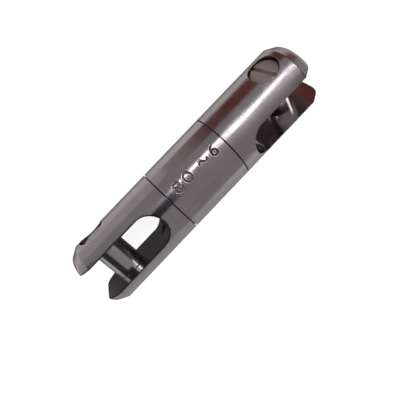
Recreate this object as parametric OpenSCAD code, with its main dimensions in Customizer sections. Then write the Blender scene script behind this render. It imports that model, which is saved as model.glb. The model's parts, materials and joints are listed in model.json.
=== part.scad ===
// Double-swivel chain connector: a barrel between two slotted jaws, each closed by a screw pin.
// Millimetres. The long axis is X, the origin is the barrel's middle, and +Z is up.
// End A points to -X and end B to +X. Each end is drawn once, as end B, and placed twice.

/* [Body] */
// Outside diameter of the barrel and of both jaws
body_d = 19; // [17:0.5:26]
// Length of the barrel between its two faces
barrel_len = 19; // [16:0.5:32]
// Length of each jaw from its seam face to its tip
jaw_len = 28.5; // [27:0.5:42]
// How far jaw B is turned about the long axis, in degrees
jaw_b_turn = 35.4; // [0:0.1:90]

/* [Jaw] */
// Width of the slot that takes the chain link
slot_w = 9.4; // [7.5:0.1:11.5]
// Solid metal between the seam face and the bottom of the slot
base_t = 4.4; // [4:0.1:8]
// Distance from the jaw's tip back to the bolt's axis
bolt_setback = 9; // [8.5:0.1:13]
// Length of the tapered nose at the jaw's tip
nose_len = 3.5; // [2.5:0.1:4.5]
// Angle between the nose's taper and the long axis, in degrees
nose_taper = 28; // [15:1:40]
// Radius between the nose's taper and its flat end
nose_round = 2.6; // [1:0.1:3]

/* [Jaw bolt] */
// Diameter of the bolt's plain shank, which carries the link
bolt_d = 8; // [6:0.1:9.8]
// Radial clearance of the shank in its ear
bolt_gap = 0.08; // [0.02:0.01:0.1]
// Diameter of the bolt's threaded end
bolt_thread_d = 6; // [5:0.1:7.2]
// Depth of the slotted end below the jaw's outer surface
bolt_face_sink = 1.2; // [1:0.1:2.2]
// Depth of the threaded end below the jaw's outer surface
bolt_end_sink = 0.7; // [0.4:0.1:1.5]
// Chamfer round the shank's two ends
bolt_chamfer = 0.35; // [0.1:0.05:0.6]
// Width of the screwdriver slot
driver_slot_w = 1.1; // [0.8:0.1:1.6]
// Depth of the screwdriver slot
driver_slot_t = 1.1; // [0.6:0.1:1.6]
// Angle of bolt A's screwdriver slot to the jaw's cross-section, in degrees
driver_turn_a = 62; // [0:1:180]
// Angle of bolt B's screwdriver slot to the jaw's cross-section, in degrees
driver_turn_b = 12; // [0:1:180]

/* [Swivel] */
// Thickness of the thrust washer, which is the gap at the seam
thrust_t = 0.5; // [0.3:0.1:1.2]
// How far the thrust washer's rim lies inside the outer surface
thrust_inset = 0.7; // [0.3:0.1:1.5]
// Diameter of the swivel screw's plain shoulder
shoulder_d = 6.6; // [5.6:0.1:8]
// Diameter of the swivel screw's thread
screw_thread_d = 6; // [4:0.1:6.4]
// Length of the swivel screw's thread in the barrel
screw_thread_len = 6.4; // [4:0.1:7]
// Diameter of the swivel screw's head
head_d = 9; // [8.4:0.1:11]
// Height of the swivel screw's head
head_t = 1.8; // [1.4:0.1:2.2]
// Width across the flats of the socket in the head
socket_w = 4; // [3:0.1:5]
// Depth of the socket in the head
socket_t = 1.3; // [0.8:0.1:2]
// Thickness of the washer under the head
head_washer_t = 0.4; // [0.2:0.1:0.8]
// Wall of the bearing bush
bush_wall = 0.6; // [0.4:0.1:0.8]
// Radial clearance where one piece turns in another
run_gap = 0.03; // [0.01:0.01:0.08]
// Radial clearance round the screw's head in its pocket
pocket_gap = 0.15; // [0.1:0.05:0.4]

/* [Locking] */
// Diameter of the pin that locks each swivel screw in the barrel
lock_d = 2; // [1.5:0.1:3]
// Distance of each lock pin from the barrel's face
lock_inset = 3.5; // [2.5:0.1:4]
// How deep the lock pin bites into the screw
lock_bite = 1.6; // [1:0.1:2]

/* [Hidden] */
$fn = 96;
steel = "#8f8b8a";
screw_steel = "#a3a09e";
bronze = "#b08a52";
acetal = "#1d1d1f";
// Clearance of a seated piece, and how far a cutter runs past the metal
seat_gap = 0.01;
past = 1;
body_r = body_d / 2;
barrel_face = barrel_len / 2;
jaw_face = barrel_face + thrust_t;
jaw_tip = jaw_face + jaw_len;
slot_bottom = jaw_face + base_t;
slot_r = slot_w / 2;
slot_centre = slot_bottom + slot_r;
bolt_x = jaw_tip - bolt_setback;
bolt_r = bolt_d / 2;
bolt_face = body_r - bolt_face_sink;
bolt_end = body_r - bolt_end_sink;
thread_r = bolt_thread_d / 2;
shoulder_r = shoulder_d / 2;
bush_r = shoulder_r + run_gap + bush_wall;
head_r = head_d / 2;
pocket_floor = slot_bottom - head_t - head_washer_t;
head_seat = pocket_floor + head_washer_t;
lock_x = barrel_face - lock_inset;
lock_r = lock_d / 2;
screw_r = screw_thread_d / 2;
screw_end = barrel_face - screw_thread_len;
// Depth of the lock pin's flat end, where its rim meets the round barrel
lock_top = sqrt(body_r * body_r - lock_r * lock_r);
// The nose tapers in a straight line, then rounds over until it is square to the axis
nose_start = jaw_tip - nose_len;
taper_end = jaw_tip - nose_round + nose_round * sin(nose_taper);
taper_end_r = body_r - (taper_end - nose_start) * tan(nose_taper);
nose_flat_r = taper_end_r - nose_round * cos(nose_taper);

// Places a piece that is drawn for end B at end A
module end_a() {
    mirror([1, 0, 0]) children();
}

// Turns a piece of jaw B, drawn with its bolt along Y, to where the jaw is at rest
module turned_b() {
    rotate([jaw_b_turn, 0, 0]) children();
}

// A round bar along X from x0 to x1
module bar_x(x0, x1, r) {
    translate([x0, 0, 0])
        rotate([0, 90, 0])
            cylinder(h = x1 - x0, r = r);
}

// A washer or bush along X from x0 to x1
module ring_x(x0, x1, outer_r, inner_r) {
    difference() {
        bar_x(x0, x1, outer_r);
        bar_x(x0 - past, x1 + past, inner_r);
    }
}

// A round bar along Y from y0 to y1, through the bolt's axis
module bar_y(y0, y1, r) {
    translate([bolt_x, y0, 0])
        rotate([-90, 0, 0])
            cylinder(h = y1 - y0, r = r);
}

// A bar along Y with a chamfer at each end, through the bolt's axis
module chamfered_bar_y(y0, y1, r, chamfer) {
    translate([bolt_x, 0, 0])
        rotate([-90, 0, 0])
            rotate_extrude()
                polygon([
                    [0, y0],
                    [r - chamfer, y0],
                    [r, y0 + chamfer],
                    [r, y1 - chamfer],
                    [r - chamfer, y1],
                    [0, y1]
                ]);
}

// Half of the jaw's outline, as radius and distance along the axis
module jaw_outline() {
    polygon([
        [0, jaw_face],
        [body_r, jaw_face],
        [body_r, nose_start],
        [taper_end_r, taper_end],
        [nose_flat_r, jaw_tip],
        [0, jaw_tip]
    ]);
    translate([nose_flat_r, jaw_tip - nose_round])
        circle(r = nose_round);
}

module slot_cut() {
    translate([slot_centre, -slot_r, -body_d])
        cube([jaw_len, slot_w, 2 * body_d]);
    translate([slot_centre, 0, -body_d])
        cylinder(h = 2 * body_d, r = slot_r);
}

module jaw() {
    color(steel)
        difference() {
            rotate([0, 90, 0])
                rotate_extrude()
                    jaw_outline();
            slot_cut();
            bar_x(jaw_face - past, pocket_floor + past, bush_r + seat_gap);
            bar_x(pocket_floor, slot_centre, head_r + pocket_gap);
            bar_y(0, body_d, bolt_r + bolt_gap);
            bar_y(-body_d, 0, thread_r + run_gap);
        }
}

module jaw_bolt(driver_turn) {
    color(screw_steel)
        difference() {
            union() {
                chamfered_bar_y(-slot_r, bolt_face, bolt_r, bolt_chamfer);
                chamfered_bar_y(-bolt_end, 0, thread_r, bolt_chamfer);
            }
            translate([bolt_x, bolt_face - driver_slot_t, 0])
                rotate([0, driver_turn, 0])
                    translate([-driver_slot_w / 2, 0, -bolt_d])
                        cube([driver_slot_w, driver_slot_t + past, 2 * bolt_d]);
        }
}

module bearing_bush() {
    color(bronze) ring_x(jaw_face, pocket_floor, bush_r, shoulder_r + run_gap);
}

module thrust_washer() {
    color(acetal) ring_x(barrel_face, jaw_face, body_r - thrust_inset, shoulder_r + run_gap);
}

module head_washer() {
    color(screw_steel) ring_x(pocket_floor, head_seat, head_r, shoulder_r + run_gap);
}

module swivel_screw() {
    color(screw_steel)
        difference() {
            union() {
                bar_x(screw_end, barrel_face, screw_r);
                bar_x(barrel_face, head_seat, shoulder_r);
                bar_x(head_seat, head_seat + head_t, head_r);
            }
            translate([head_seat + head_t - socket_t, 0, 0])
                rotate([0, 90, 0])
                    cylinder(h = socket_t + past, r = socket_w / sqrt(3), $fn = 6);
            lock_hole();
        }
}

// The drilled hole that the lock pin fills, from below the barrel up into the screw
module lock_hole() {
    translate([lock_x, 0, -body_r - past])
        cylinder(h = body_r + past - screw_r + lock_bite, r = lock_r + seat_gap);
}

module lock_pin() {
    color(screw_steel)
        translate([lock_x, 0, -lock_top])
            cylinder(h = lock_top - screw_r + lock_bite, r = lock_r);
}

// The tapped hole for a swivel screw
module screw_hole() {
    bar_x(screw_end - past, barrel_face + past, screw_r + seat_gap);
}

module swivel_barrel() {
    color(steel)
        difference() {
            bar_x(-barrel_face, barrel_face, body_r);
            screw_hole();
            lock_hole();
            end_a() screw_hole();
            end_a() lock_hole();
        }
}

swivel_barrel();
end_a() thrust_washer();  // thrust_washer_a
thrust_washer();  // thrust_washer_b
end_a() swivel_screw();  // swivel_screw_a
swivel_screw();  // swivel_screw_b
end_a() head_washer();  // head_washer_a
head_washer();  // head_washer_b
end_a() lock_pin();  // lock_pin_a
lock_pin();  // lock_pin_b
end_a() jaw();  // jaw_a
turned_b() jaw();  // jaw_b
end_a() bearing_bush();  // bearing_bush_a
bearing_bush();  // bearing_bush_b
end_a() jaw_bolt(driver_turn_a);  // jaw_bolt_a
turned_b() jaw_bolt(driver_turn_b);  // jaw_bolt_b
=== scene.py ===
"""A double-swivel chain connector in polished steel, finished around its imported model.

The long axis is X, jaw B points to +X and jaw A to -X, and +Z is up. Lengths are in metres.
Each jaw is worked out once in its own frame, as jaw B with its bolt along Y, and then placed at its end.
"""

import json
import logging
import math
from dataclasses import dataclass, field
from enum import Enum
from typing import Callable, Sequence

import bpy
import numpy as np
from mathutils import Matrix, Vector
from mathutils.geometry import delaunay_2d_cdt


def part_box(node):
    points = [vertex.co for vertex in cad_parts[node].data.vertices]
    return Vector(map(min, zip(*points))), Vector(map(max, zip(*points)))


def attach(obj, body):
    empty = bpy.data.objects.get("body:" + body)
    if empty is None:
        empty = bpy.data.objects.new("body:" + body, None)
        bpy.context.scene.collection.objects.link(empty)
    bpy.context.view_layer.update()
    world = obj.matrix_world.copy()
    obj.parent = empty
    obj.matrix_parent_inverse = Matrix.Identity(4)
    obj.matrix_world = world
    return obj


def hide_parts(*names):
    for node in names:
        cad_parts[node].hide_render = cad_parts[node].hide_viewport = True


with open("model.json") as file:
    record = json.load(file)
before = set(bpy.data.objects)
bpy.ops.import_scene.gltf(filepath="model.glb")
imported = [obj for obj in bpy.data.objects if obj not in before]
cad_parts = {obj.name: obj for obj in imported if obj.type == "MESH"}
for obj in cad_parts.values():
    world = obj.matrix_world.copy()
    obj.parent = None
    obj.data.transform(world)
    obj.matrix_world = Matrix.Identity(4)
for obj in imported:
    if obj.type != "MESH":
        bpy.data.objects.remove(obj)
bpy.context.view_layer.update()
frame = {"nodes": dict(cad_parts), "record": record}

log = logging.getLogger("connector")

MM = 0.001
WELD = 1e-8
QUARTER = math.pi / 2
SEAM_LIP = 0.1 * MM
SEAM_RIM = 0.55 * MM
FACE_PITCH = 1.2 * MM
ARC_PITCH = 0.3 * MM
AHEAD = np.array([1.0, 0.0, 0.0])
Outline = Sequence[tuple[float, float]]
Colour = tuple[float, float, float, float]


class End(Enum):
    """Which end of the connector a piece belongs to."""

    A = "a"
    B = "b"


class Recess(Enum):
    """What a driver turns in a screw's top."""

    SLOT = "slot"
    HEX = "hex"


# ---------------------------------------------------------------- sizes shared by the pieces


@dataclass(frozen=True)
class Layout:
    """The sizes that several pieces share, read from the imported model."""

    body_r: float
    barrel_face: float
    jaw_face: float
    ear_tip: float
    slot_r: float
    slot_bottom: float
    pocket_floor: float
    head_seat: float
    head_r: float
    bush_r: float
    bolt_x: float
    bolt_r: float
    bolt_face: float
    bolt_end: float
    lock_x: float
    turn_b: float
    floor_z: float

    @classmethod
    def read(cls, record: dict) -> "Layout":
        """Reads the sizes from the model's boxes and from the record's mounts.

        Args:
            record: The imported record.

        Returns:
            The layout of this connector.
        """
        mounts = {mount["name"]: mount for mount in record["mounts"]}
        bolt = mounts["jaw_b_bolt"]
        barrel_low, barrel_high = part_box("swivel_barrel")
        bolt_low, bolt_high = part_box("jaw_bolt_a")
        washer_low, washer_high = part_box("head_washer_b")
        lock_low, lock_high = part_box("lock_pin_b")
        return cls(
            body_r=barrel_high.z,
            barrel_face=barrel_high.x,
            jaw_face=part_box("thrust_washer_b")[1].x,
            ear_tip=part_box("jaw_b")[1].x,
            slot_r=bolt["dims"]["length_mm"] * MM / 2,
            slot_bottom=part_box("swivel_screw_b")[1].x,
            pocket_floor=washer_low.x,
            head_seat=washer_high.x,
            head_r=washer_high.z,
            bush_r=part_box("bearing_bush_b")[1].z,
            bolt_x=bolt["pos_m"][0],
            bolt_r=bolt["dims"]["r_mm"] * MM,
            bolt_face=bolt_high.y,
            bolt_end=-bolt_low.y,
            lock_x=(lock_low.x + lock_high.x) / 2,
            turn_b=math.atan2(bolt["axis"][2], bolt["axis"][1]),
            floor_z=barrel_low.z,
        )

    def place(self, end: End) -> Matrix:
        """Gives the matrix that takes a piece of the jaw frame to its end.

        Args:
            end: The end that the piece belongs to.

        Returns:
            A rotation, so that right-hand threads stay right-hand.
        """
        if end is End.A:
            return Matrix.Rotation(math.pi, 4, "Y")
        return Matrix.Rotation(self.turn_b, 4, "X")


# ---------------------------------------------------------------- meshes


def unit(vectors: np.ndarray) -> np.ndarray:
    """Scales each row of vectors to length one."""
    length = np.linalg.norm(vectors, axis=-1, keepdims=True)
    return vectors / np.maximum(length, 1e-12)


def spokes(angles: np.ndarray) -> np.ndarray:
    """Gives the directions out from the long axis, at angles from +Z towards +Y."""
    return np.stack([np.zeros_like(angles), np.sin(angles), np.cos(angles)], axis=1)


def mesh_object(name: str, mesh: bpy.types.Mesh) -> bpy.types.Object:
    """Links a new object that shows a mesh.

    Args:
        name: The object's name.
        mesh: What it shows.

    Returns:
        The new object.
    """
    made = bpy.data.objects.new(name, mesh)
    bpy.context.scene.collection.objects.link(made)
    return made


@dataclass(frozen=True)
class Mark:
    """What age and the light did to a patch: how dark it is painted, for old oil and for painted shade in
    holes, seams and along edges, and shelter, how little it was rubbed.
    """

    grime: float = 0.0
    shelter: float = 0.0


PLAIN = Mark()


class Skin:
    """A surface in the making: patches of points with their own shading normals, welded where they meet."""

    def __init__(self) -> None:
        """Starts with no patches."""
        self.points: list[np.ndarray] = []
        self.normals: list[np.ndarray] = []
        self.faces: list[tuple[int, ...]] = []
        self.marks: list[np.ndarray] = []
        self.count = 0

    def add(
        self, points: np.ndarray, normals: np.ndarray, faces: Sequence[Sequence[int]], mark: Mark = PLAIN
    ) -> None:
        """Adds one patch.

        Args:
            points: One row for each corner.
            normals: The outward shading normal at each corner.
            faces: Corner numbers within this patch.
            mark: How dark with old oil and painted shade, and how sheltered, the patch is.
        """
        self.marks.append(np.tile([mark.grime, mark.shelter], (len(points), 1)))
        self.points.append(np.asarray(points, float))
        self.normals.append(unit(np.asarray(normals, float)))
        start = self.count
        self.faces.extend(tuple(start + i for i in face) for face in faces)
        self.count += len(points)

    def add_grid(
        self, points: np.ndarray, normals: np.ndarray, closed: bool = False, mark: Mark = PLAIN
    ) -> None:
        """Adds a patch of quads.

        Args:
            points: Rows by columns by 3.
            normals: The same shape as points.
            closed: Whether the last column joins the first.
            mark: How dark with old oil and painted shade, and how sheltered, the patch is.
        """
        rows, columns = points.shape[:2]
        across = columns if closed else columns - 1
        faces = [
            (
                row * columns + column,
                row * columns + (column + 1) % columns,
                (row + 1) * columns + (column + 1) % columns,
                (row + 1) * columns + column,
            )
            for row in range(rows - 1)
            for column in range(across)
        ]
        self.add(points.reshape(-1, 3), normals.reshape(-1, 3), faces, mark)

    def add_mirrored(self, other: "Skin", scale: tuple[float, float, float]) -> None:
        """Adds every patch of another skin, mirrored in the planes whose scale is -1.

        Args:
            other: The skin to copy.
            scale: 1 or -1 along each axis.
        """
        flip = np.array(scale)
        start = self.count
        for points, normals in zip(other.points, other.normals):
            self.points.append(points * flip)
            self.normals.append(normals * flip)
        self.marks.extend(other.marks)
        self.faces.extend(tuple(start + i for i in face) for face in other.faces)
        self.count += other.count

    def build(self, name: str) -> bpy.types.Object:
        """Welds the patches, turns every face outwards and makes an object.

        Args:
            name: The object's name.

        Returns:
            The object, smooth with the patches' own normals.
        """
        points = np.concatenate(self.points)
        normals = np.concatenate(self.normals)
        _, first, shared = np.unique(
            np.round(points / WELD).astype(np.int64), axis=0, return_index=True, return_inverse=True
        )
        shared = shared.reshape(-1)
        faces, corner_normals = [], []
        for face in self.faces:
            corners = [i for k, i in enumerate(face) if shared[i] != shared[face[k - 1]]]
            if len({int(shared[i]) for i in corners}) < 3:
                continue
            a, b, c = points[corners[0]], points[corners[1]], points[corners[2]]
            facing = np.cross(b - a, c - a) @ normals[corners].sum(axis=0)
            if len(corners) == 4:
                d = points[corners[3]]
                facing = np.cross(c - a, d - b) @ normals[corners].sum(axis=0)
            if facing < 0:
                corners = corners[::-1]
            faces.append([int(shared[i]) for i in corners])
            corner_normals.extend(normals[corners].tolist())
        mesh = bpy.data.meshes.new(name)
        mesh.from_pydata(points[first].tolist(), [], faces)
        mesh.polygons.foreach_set("use_smooth", [True] * len(mesh.polygons))
        mesh.normals_split_custom_set(corner_normals)
        # Each point carries how dark it is painted, for old oil and painted shade, and how sheltered it is.
        marks = np.zeros((len(first), 2))
        np.maximum.at(marks, shared, np.concatenate(self.marks))
        for label, column in zip(("grime", "shelter"), marks.T):
            carried = mesh.attributes.new(label, "FLOAT", "POINT")
            carried.data.foreach_set("value", np.ascontiguousarray(column))
        mesh.update()
        return mesh_object(name, mesh)


def soften(
    edge: np.ndarray, first: np.ndarray, second: np.ndarray, size: float
) -> tuple[np.ndarray, np.ndarray]:
    """Finds where a rounded edge meets its two surfaces.

    Args:
        edge: Points along the sharp edge.
        first: The first surface's outward normals there.
        second: The second surface's outward normals there.
        size: How far the rounding reaches into each surface.

    Returns:
        The points on the first surface's tangent plane and those on the second's.
    """
    dot = np.sum(first * second, axis=1, keepdims=True)
    return edge + size * unit(dot * first - second), edge + size * unit(dot * second - first)


def add_rounding(
    skin: Skin,
    edge: np.ndarray,
    ends: tuple[np.ndarray, np.ndarray],
    normals: tuple[np.ndarray, np.ndarray],
    mark: Mark = PLAIN,
) -> None:
    """Adds the strip of a rounded edge.

    Args:
        skin: Where the strip goes.
        edge: Points along the sharp edge.
        ends: Where the strip meets the two surfaces.
        normals: The two surfaces' normals at those points.
        mark: How dark with old oil and painted shade, and how sheltered, the strip is.
    """
    steps = np.linspace(0.0, 1.0, 5)[:, None, None]
    points = (1 - steps) ** 2 * ends[0] + 2 * steps * (1 - steps) * edge + steps**2 * ends[1]
    blend = (1 - steps) * unit(normals[0]) + steps * unit(normals[1])
    skin.add_grid(points, unit(blend), mark=mark)


def add_lip(
    skin: Skin, rim: np.ndarray, ring: np.ndarray, ahead: np.ndarray, radius: float
) -> np.ndarray:
    """Adds the raised rim of a seam face, which hides the thrust washer's edge.

    Args:
        skin: Where the rim goes.
        rim: Points round the rim's outer edge.
        ring: Their directions out from the long axis.
        ahead: The seam face's normals.
        radius: The rim's inner radius.

    Returns:
        The points at the rim's foot.
    """
    inner = rim * np.array([1.0, 0, 0]) + radius * ring
    foot = inner - SEAM_LIP * ahead
    # The rim is painted dark and its inner step near black: old oil and painted shade in the seam between the
    # parts.
    skin.add_grid(np.stack([rim, inner]), np.stack([ahead, ahead]), mark=Mark(0.6))
    skin.add_grid(np.stack([inner, foot]), np.stack([-ring, -ring]), mark=Mark(1.0))
    return foot


@dataclass
class Border:
    """One stretch of a patch's border: its places in the flat pattern, in space, and its normals."""

    flat: np.ndarray
    points: np.ndarray
    normals: np.ndarray

    def reversed(self) -> "Border":
        """Gives the same stretch the other way round."""
        return Border(self.flat[::-1], self.points[::-1], self.normals[::-1])


Wrap = Callable[[np.ndarray], tuple[np.ndarray, np.ndarray]]


def straight(start: Sequence[float], end: Sequence[float], pitch: float, wrap: Wrap) -> Border:
    """Makes a border that is straight in the flat pattern.

    Args:
        start: Its first point in the pattern.
        end: Its last point in the pattern.
        pitch: The spacing to aim for.
        wrap: Takes places in the pattern to points and normals.

    Returns:
        The border, both ends included.
    """
    start, end = np.array(start, float), np.array(end, float)
    steps = max(1, int(round(np.linalg.norm(end - start) / pitch)))
    flat = start + np.linspace(0, 1, steps + 1)[:, None] * (end - start)
    points, normals = wrap(flat)
    return Border(flat, points, normals)


def inside(loop: np.ndarray, places: np.ndarray) -> np.ndarray:
    """Tells which places lie inside a closed loop of the flat pattern.

    Args:
        loop: The loop's corners.
        places: The places to test.

    Returns:
        True for each place inside.
    """
    x, y = places[:, 0][:, None], places[:, 1][:, None]
    a, b = loop, np.roll(loop, -1, axis=0)
    crosses = (a[:, 1] > y) != (b[:, 1] > y)
    rise = np.where(b[:, 1] == a[:, 1], 1e-30, b[:, 1] - a[:, 1])
    cut = a[:, 0] + (y - a[:, 1]) / rise * (b[:, 0] - a[:, 0])
    return (np.sum(crosses & (x < cut), axis=1) % 2).astype(bool)


def add_patch(
    skin: Skin,
    borders: Sequence[Border],
    pitch: float,
    wrap: Wrap,
    extra: np.ndarray | None = None,
    mark: Mark = PLAIN,
) -> None:
    """Fills a closed ring of borders with even triangles, wrapped on to a surface.

    Args:
        skin: Where the patch goes.
        borders: Stretches that follow each other round the patch.
        pitch: The spacing of the points inside.
        wrap: Takes places in the flat pattern to points and normals.
        extra: Further places to use inside the patch.
        mark: How dark with old oil and painted shade, and how sheltered, the patch is.
    """
    flat = np.concatenate([border.flat[:-1] for border in borders])
    points = np.concatenate([border.points[:-1] for border in borders])
    normals = np.concatenate([border.normals[:-1] for border in borders])
    low, high = flat.min(axis=0), flat.max(axis=0)
    across = np.arange(low[0] + pitch / 2, high[0], pitch)
    along = np.arange(low[1] + pitch / 2, high[1], pitch * math.sqrt(0.75))
    places = np.array([(x + (k % 2) * pitch / 2, y) for k, y in enumerate(along) for x in across])
    if extra is not None:
        near = np.min(np.linalg.norm(places[:, None] - extra[None], axis=2), axis=1)
        places = np.concatenate([places[near > pitch * 0.35], extra])
    places = places[inside(flat, places)]
    gap = np.min(np.linalg.norm(places[:, None] - flat[None], axis=2), axis=1)
    places = places[gap > pitch * 0.45]
    inner_points, inner_normals = wrap(places)
    every = np.concatenate([flat, places]) / pitch
    area = np.sum(flat[:, 0] * np.roll(flat[:, 1], -1) - np.roll(flat[:, 0], -1) * flat[:, 1])
    ring = list(range(len(flat)))[:: 1 if area > 0 else -1]
    found = delaunay_2d_cdt([Vector(place) for place in every.tolist()], [], [ring], 1, 1e-6)
    source = [origins[0] for origins in found[3]]
    faces = [[source[i] for i in face] for face in found[2]]
    skin.add(np.concatenate([points, inner_points]), np.concatenate([normals, inner_normals]), faces, mark)


def add_seam_face(skin: Skin, outer: np.ndarray, inner: np.ndarray, x: float, ahead: np.ndarray) -> None:
    """Fills part of a flat ring that is square to the long axis, between two arcs.

    Args:
        skin: Where the patch goes.
        outer: Points along the outer arc.
        inner: Points along the inner arc, the same way round.
        x: Where the face lies along the axis.
        ahead: The face's normal.
    """

    def flat_face(flat: np.ndarray) -> tuple[np.ndarray, np.ndarray]:
        """Takes places on the face to points and normals."""
        points = np.concatenate([np.full((len(flat), 1), x), flat], axis=1)
        return points, np.broadcast_to(ahead, points.shape)

    arcs = [outer, np.array([outer[-1], inner[-1]]), inner[::-1], np.array([inner[0], outer[0]])]
    loop = [Border(arc[:, 1:], arc, np.broadcast_to(ahead, arc.shape)) for arc in arcs]
    add_patch(skin, loop, FACE_PITCH, flat_face)


def even_steps(curve: Callable[[np.ndarray], np.ndarray], stop: float, pitch: float) -> np.ndarray:
    """Finds the parameters at which a curve's points are evenly spaced.

    Args:
        curve: Takes parameters to points.
        stop: The last parameter; the first is 0.
        pitch: The spacing to aim for.

    Returns:
        The parameters, 0 and stop included.
    """
    fine = np.linspace(0.0, stop, 4001)
    run = np.concatenate([[0.0], np.cumsum(np.linalg.norm(np.diff(curve(fine), axis=0), axis=1))])
    steps = max(2, int(round(run[-1] / pitch)))
    return np.interp(np.linspace(0.0, run[-1], steps + 1), run, fine)


def lathe(skin: Skin, outline: Outline, columns: np.ndarray) -> None:
    """Turns an outline of radius and height about Z, with each facet shaded by its own slope.

    Args:
        skin: Where the turned surface goes.
        outline: Points from the bottom up, as (radius, height).
        columns: The angles round the axis.
    """
    around = np.stack([np.cos(columns), np.sin(columns), np.zeros_like(columns)], axis=1)
    for (r0, z0), (r1, z1) in zip(outline, outline[1:]):
        band = np.stack([around * r + np.array([0, 0, z]) for r, z in ((r0, z0), (r1, z1))])
        slope = unit(np.array([z1 - z0, r0 - r1]))
        normal = around * slope[0] + np.array([0, 0, slope[1]])
        skin.add_grid(band, np.stack([normal, normal]), closed=True)


# ---------------------------------------------------------------- the jaw


@dataclass(frozen=True)
class Thread:
    """A right-hand screw thread about an axis."""

    major_r: float = 3.0 * MM
    depth: float = 0.55 * MM
    pitch: float = 1.0 * MM
    flat: float = 0.15
    run_out: float = 0.5 * MM

    def share(self, angle: np.ndarray, height: np.ndarray) -> np.ndarray:
        """Gives how far up the flank each place is, from 0 at the root to 1 at the crest.

        Args:
            angle: Angles round the axis.
            height: Distances along it.

        Returns:
            One share for each place.
        """
        phase = np.mod(height / self.pitch - angle / (2 * math.pi), 1.0)
        rise = 1.0 - np.abs(2.0 * phase - 1.0)
        return np.clip((rise - self.flat) / (1.0 - 2.0 * self.flat), 0.0, 1.0)


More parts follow.
